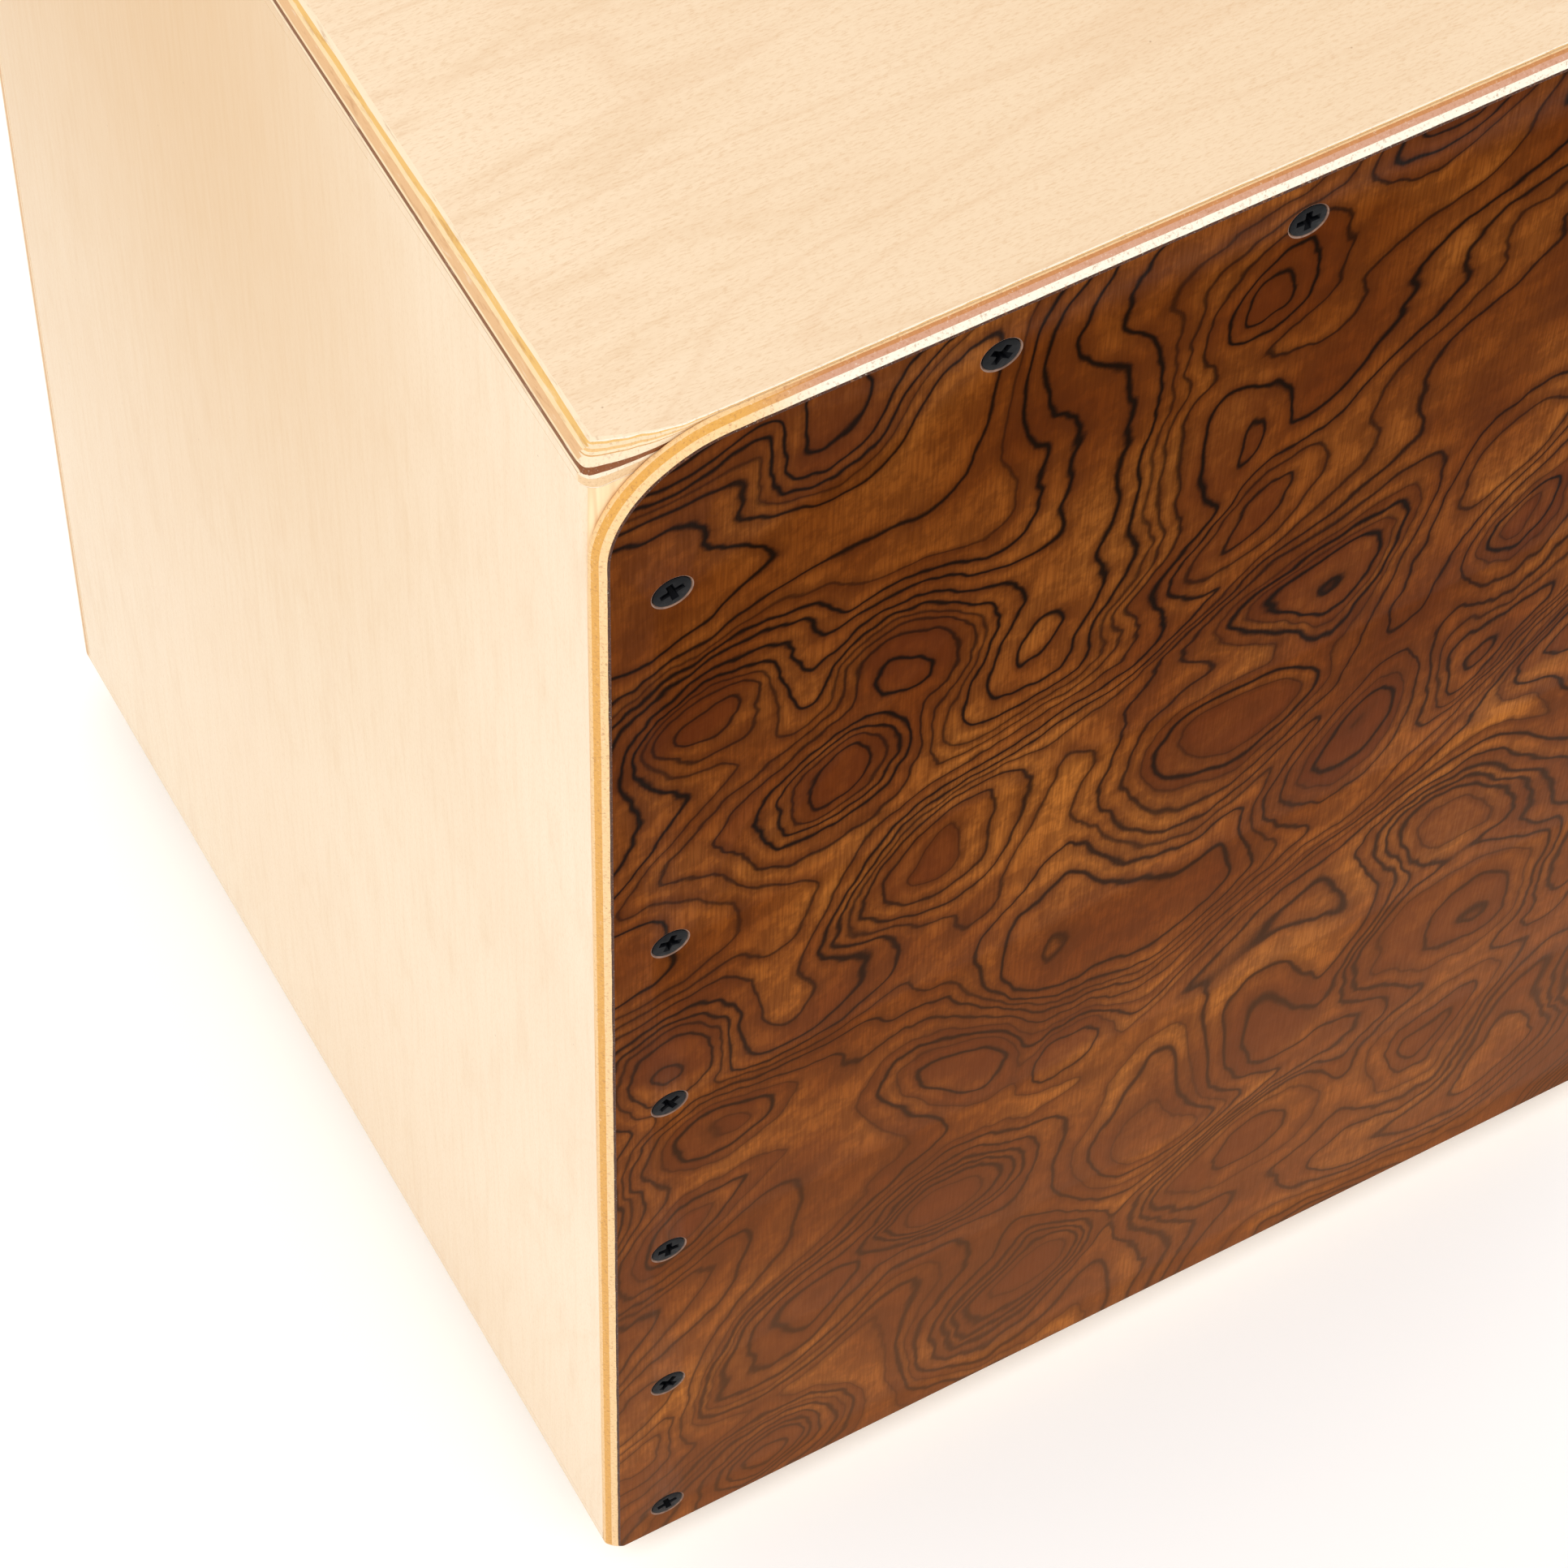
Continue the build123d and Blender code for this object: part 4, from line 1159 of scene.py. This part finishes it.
def snare_wires():
    """Two fans of twelve coiled steel wires, on the centre lines of the CAD wires."""
    for hand in ("left", "right"):
        node = "snare_wires_" + hand
        bm = bmesh.new()
        for points in islands(node):
            order = points[:, 2].argsort()
            tip = Vector(points[order[-WIRE_COUNT:]].mean(0))
            root = Vector(points[order[:WIRE_COUNT]].mean(0))
            inset = (tip - root).normalized() * (COIL_RADIUS + WIRE_RADIUS)
            coil(bm, root + inset, tip - inset, COIL_RADIUS, WIRE_RADIUS, COIL_PITCH)
        piece("coiled_" + node, bm, [snare_steel], "snare_bar", [node], sharp=60)


# ==== Everything else keeps its CAD shape and gets a finish and eased edges ====


def dress(node, material, ease):
    """Gives a CAD node its material, and eases its sharp edges by a modifier."""
    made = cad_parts[node]
    made.data.materials.clear()
    made.data.materials.append(material)
    if ease:
        weld = made.modifiers.new("weld", "WELD")
        weld.merge_threshold = 1e-6
        bevel = made.modifiers.new("ease", "BEVEL")
        bevel.width = ease
        bevel.segments = 2
        bevel.limit_method = "ANGLE"
        bevel.angle_limit = math.radians(EASE_ANGLE)
        bevel.harden_normals = False


# ==== Studio ======================================================


def studio():
    scene = bpy.context.scene
    scene.view_settings.view_transform = "Standard"
    world = bpy.data.worlds.new("studio")
    world.use_nodes = True
    background = world.node_tree.nodes["Background"]
    background.inputs["Color"].default_value = SKY_COLOUR
    background.inputs["Strength"].default_value = SKY_STRENGTH
    scene.world = world
    floor_mesh = bpy.data.meshes.new("floor")
    reach = FLOOR_REACH
    floor_mesh.from_pydata(
        [(-reach, -reach, 0), (reach, -reach, 0), (reach, reach, 0), (-reach, reach, 0)], [], [(0, 1, 2, 3)]
    )
    floor = bpy.data.objects.new("floor", floor_mesh)
    scene.collection.objects.link(floor)
    f = Finish("studio_floor")
    mottling = f.noise(f.place, 3.0, detail=2.0)
    pale = f.mix(mottling, tone(250, 250, 250), tone(253, 253, 253))
    glow = {"Emission_Color": (1.0, 1.0, 1.0, 1.0), "Emission_Strength": 0.10, "Specular_IOR_Level": 0.1}
    floor_mesh.materials.append(f.done(pale, 0.8, **glow))
    for light in LIGHTS:
        soft_light(*light)


def soft_light(name, place, aim, size, power, colour):
    data = bpy.data.lights.new(name, "AREA")
    data.shape = "SQUARE"
    data.size = size
    data.energy = power
    data.color = colour
    light = bpy.data.objects.new(name, data)
    light.location = place
    light.rotation_mode = "QUATERNION"
    light.rotation_quaternion = (Vector(aim) - Vector(place)).to_track_quat("-Z", "Y")
    bpy.context.scene.collection.objects.link(light)


def camera():
    data = bpy.data.cameras.new("camera")
    data.lens = CAMERA_LENS
    data.sensor_width = CAMERA_SENSOR
    data.clip_start = 0.05
    data.clip_end = 50
    made = bpy.data.objects.new("camera", data)
    forward = Vector(
        (
            math.sin(CAMERA_HEADING) * math.cos(CAMERA_PITCH),
            math.cos(CAMERA_HEADING) * math.cos(CAMERA_PITCH),
            -math.sin(CAMERA_PITCH),
        )
    )
    level = forward.to_track_quat("-Z", "Y").to_matrix()
    rolled = level @ Matrix.Rotation(CAMERA_ROLL, 3, "Z")
    made.matrix_world = Matrix.Translation(CAMERA_AT) @ rolled.to_4x4()
    bpy.context.scene.collection.objects.link(made)
    bpy.context.scene.camera = made


# ---- materials shared by several pieces ---------------------------------------------------
birch_seat = birch(
    "birch_seat", 0, lit(251, 226, 194), lit(245, 216, 180), lit(222, 180, 134), lit(218, 168, 118)
)
birch_upright = birch(
    "birch_upright",
    2,
    lit(253, 233, 204),
    lit(249, 224, 192),
    lit(234, 200, 158),
    lit(236, 204, 162),
    # This tint is painted shade toward the top and back of the upright faces.
    painted_shade_tint=lit(226, 184, 128),
)
plate_edge = plies(
    "plate_edge", depth_from_face, PLATE_PLIES, (1500,) * 3, other=PLATE_PLIES_HIGHLIT_TOP, speckle=0.2
)
seat_edge = plies("seat_edge", depth_from_seat, SEAT_PLIES, (1100, 160, 1100), speckle=0.14, waver=0.5)
seat_front_edge = plies(
    "seat_front_edge", depth_from_seat, SEAT_PLIES_FRONT, (1900,) * 3, speckle=0.14, waver=0.3
)
sole_edge = plies("sole_edge", depth_from_sole, SEAT_PLIES, (900, 120, 900), speckle=0.08)
rear_edge = plies("rear_edge", depth_from_back, REAR_PLIES, (1200, 1200, 1200), speckle=0.08)
port_edge = plies("port_edge", depth_from_back, REAR_PLIES, (1200, 1200, 1200), speckle=0.1)
birch_back = birch(
    "birch_back", 2, lit(246, 222, 190), lit(238, 210, 174), lit(220, 180, 136), lit(214, 168, 120)
)
side_edge = plain_wood("side_edge", 2, tone(246, 218, 174), tone(226, 180, 130))
sink_wood = plain_wood("sink_wood", 1, tone(138, 104, 84), tone(92, 62, 46))
pine = plain_wood("pine", 0, tone(240, 214, 168), tone(208, 160, 106))
pine_upright = plain_wood("pine_upright", 2, tone(240, 214, 168), tone(208, 160, 106))
beech = plain_wood("beech", 0, tone(226, 180, 136), tone(186, 132, 92))
black_screw = metal("black_screw", tone(5, 6, 9), tone(14, 15, 19), 0.33, metallic=0.0, gloss=0.05)
snare_steel = metal("snare_steel", tone(200, 202, 206), tone(150, 152, 158), 0.25)
zinc = metal("zinc", tone(196, 198, 200), tone(174, 175, 177), 0.30)
brass = metal("brass", tone(214, 176, 98), tone(168, 128, 62), 0.3)
plastic = moulded("black_plastic", tone(24, 24, 26), tone(44, 44, 46), 0.42)
rubber = moulded("black_rubber", tone(26, 26, 27), tone(58, 57, 56), 0.62)

front_plate()
seat_panel()
side_panels()
bottom_panel()
rear_panel()
plate_screws()
rubber_feet()
foot_hardware()
lock_knob()
lock_hardware()
snare_wires()
strap_screws()

FINISHES = {
    "front_cleat_top": (pine, 0.5 * MM),
    "front_cleat_bottom": (pine, 0.5 * MM),
    "rear_cleat_top": (pine, 0.5 * MM),
    "rear_cleat_bottom": (pine, 0.5 * MM),
    "front_cleat_left": (pine_upright, 0.5 * MM),
    "front_cleat_right": (pine_upright, 0.5 * MM),
    "rear_cleat_left": (pine_upright, 0.5 * MM),
    "rear_cleat_right": (pine_upright, 0.5 * MM),
    "snare_bearing_block_left": (pine, 0.4 * MM),
    "snare_bearing_block_right": (pine, 0.4 * MM),
    "snare_bar": (beech, 0.3 * MM),
    "snare_strap_left": (zinc, 0.0),
    "snare_strap_right": (zinc, 0.0),
}
for node, (material, ease) in FINISHES.items():
    dress(node, material, ease)

studio()
camera()
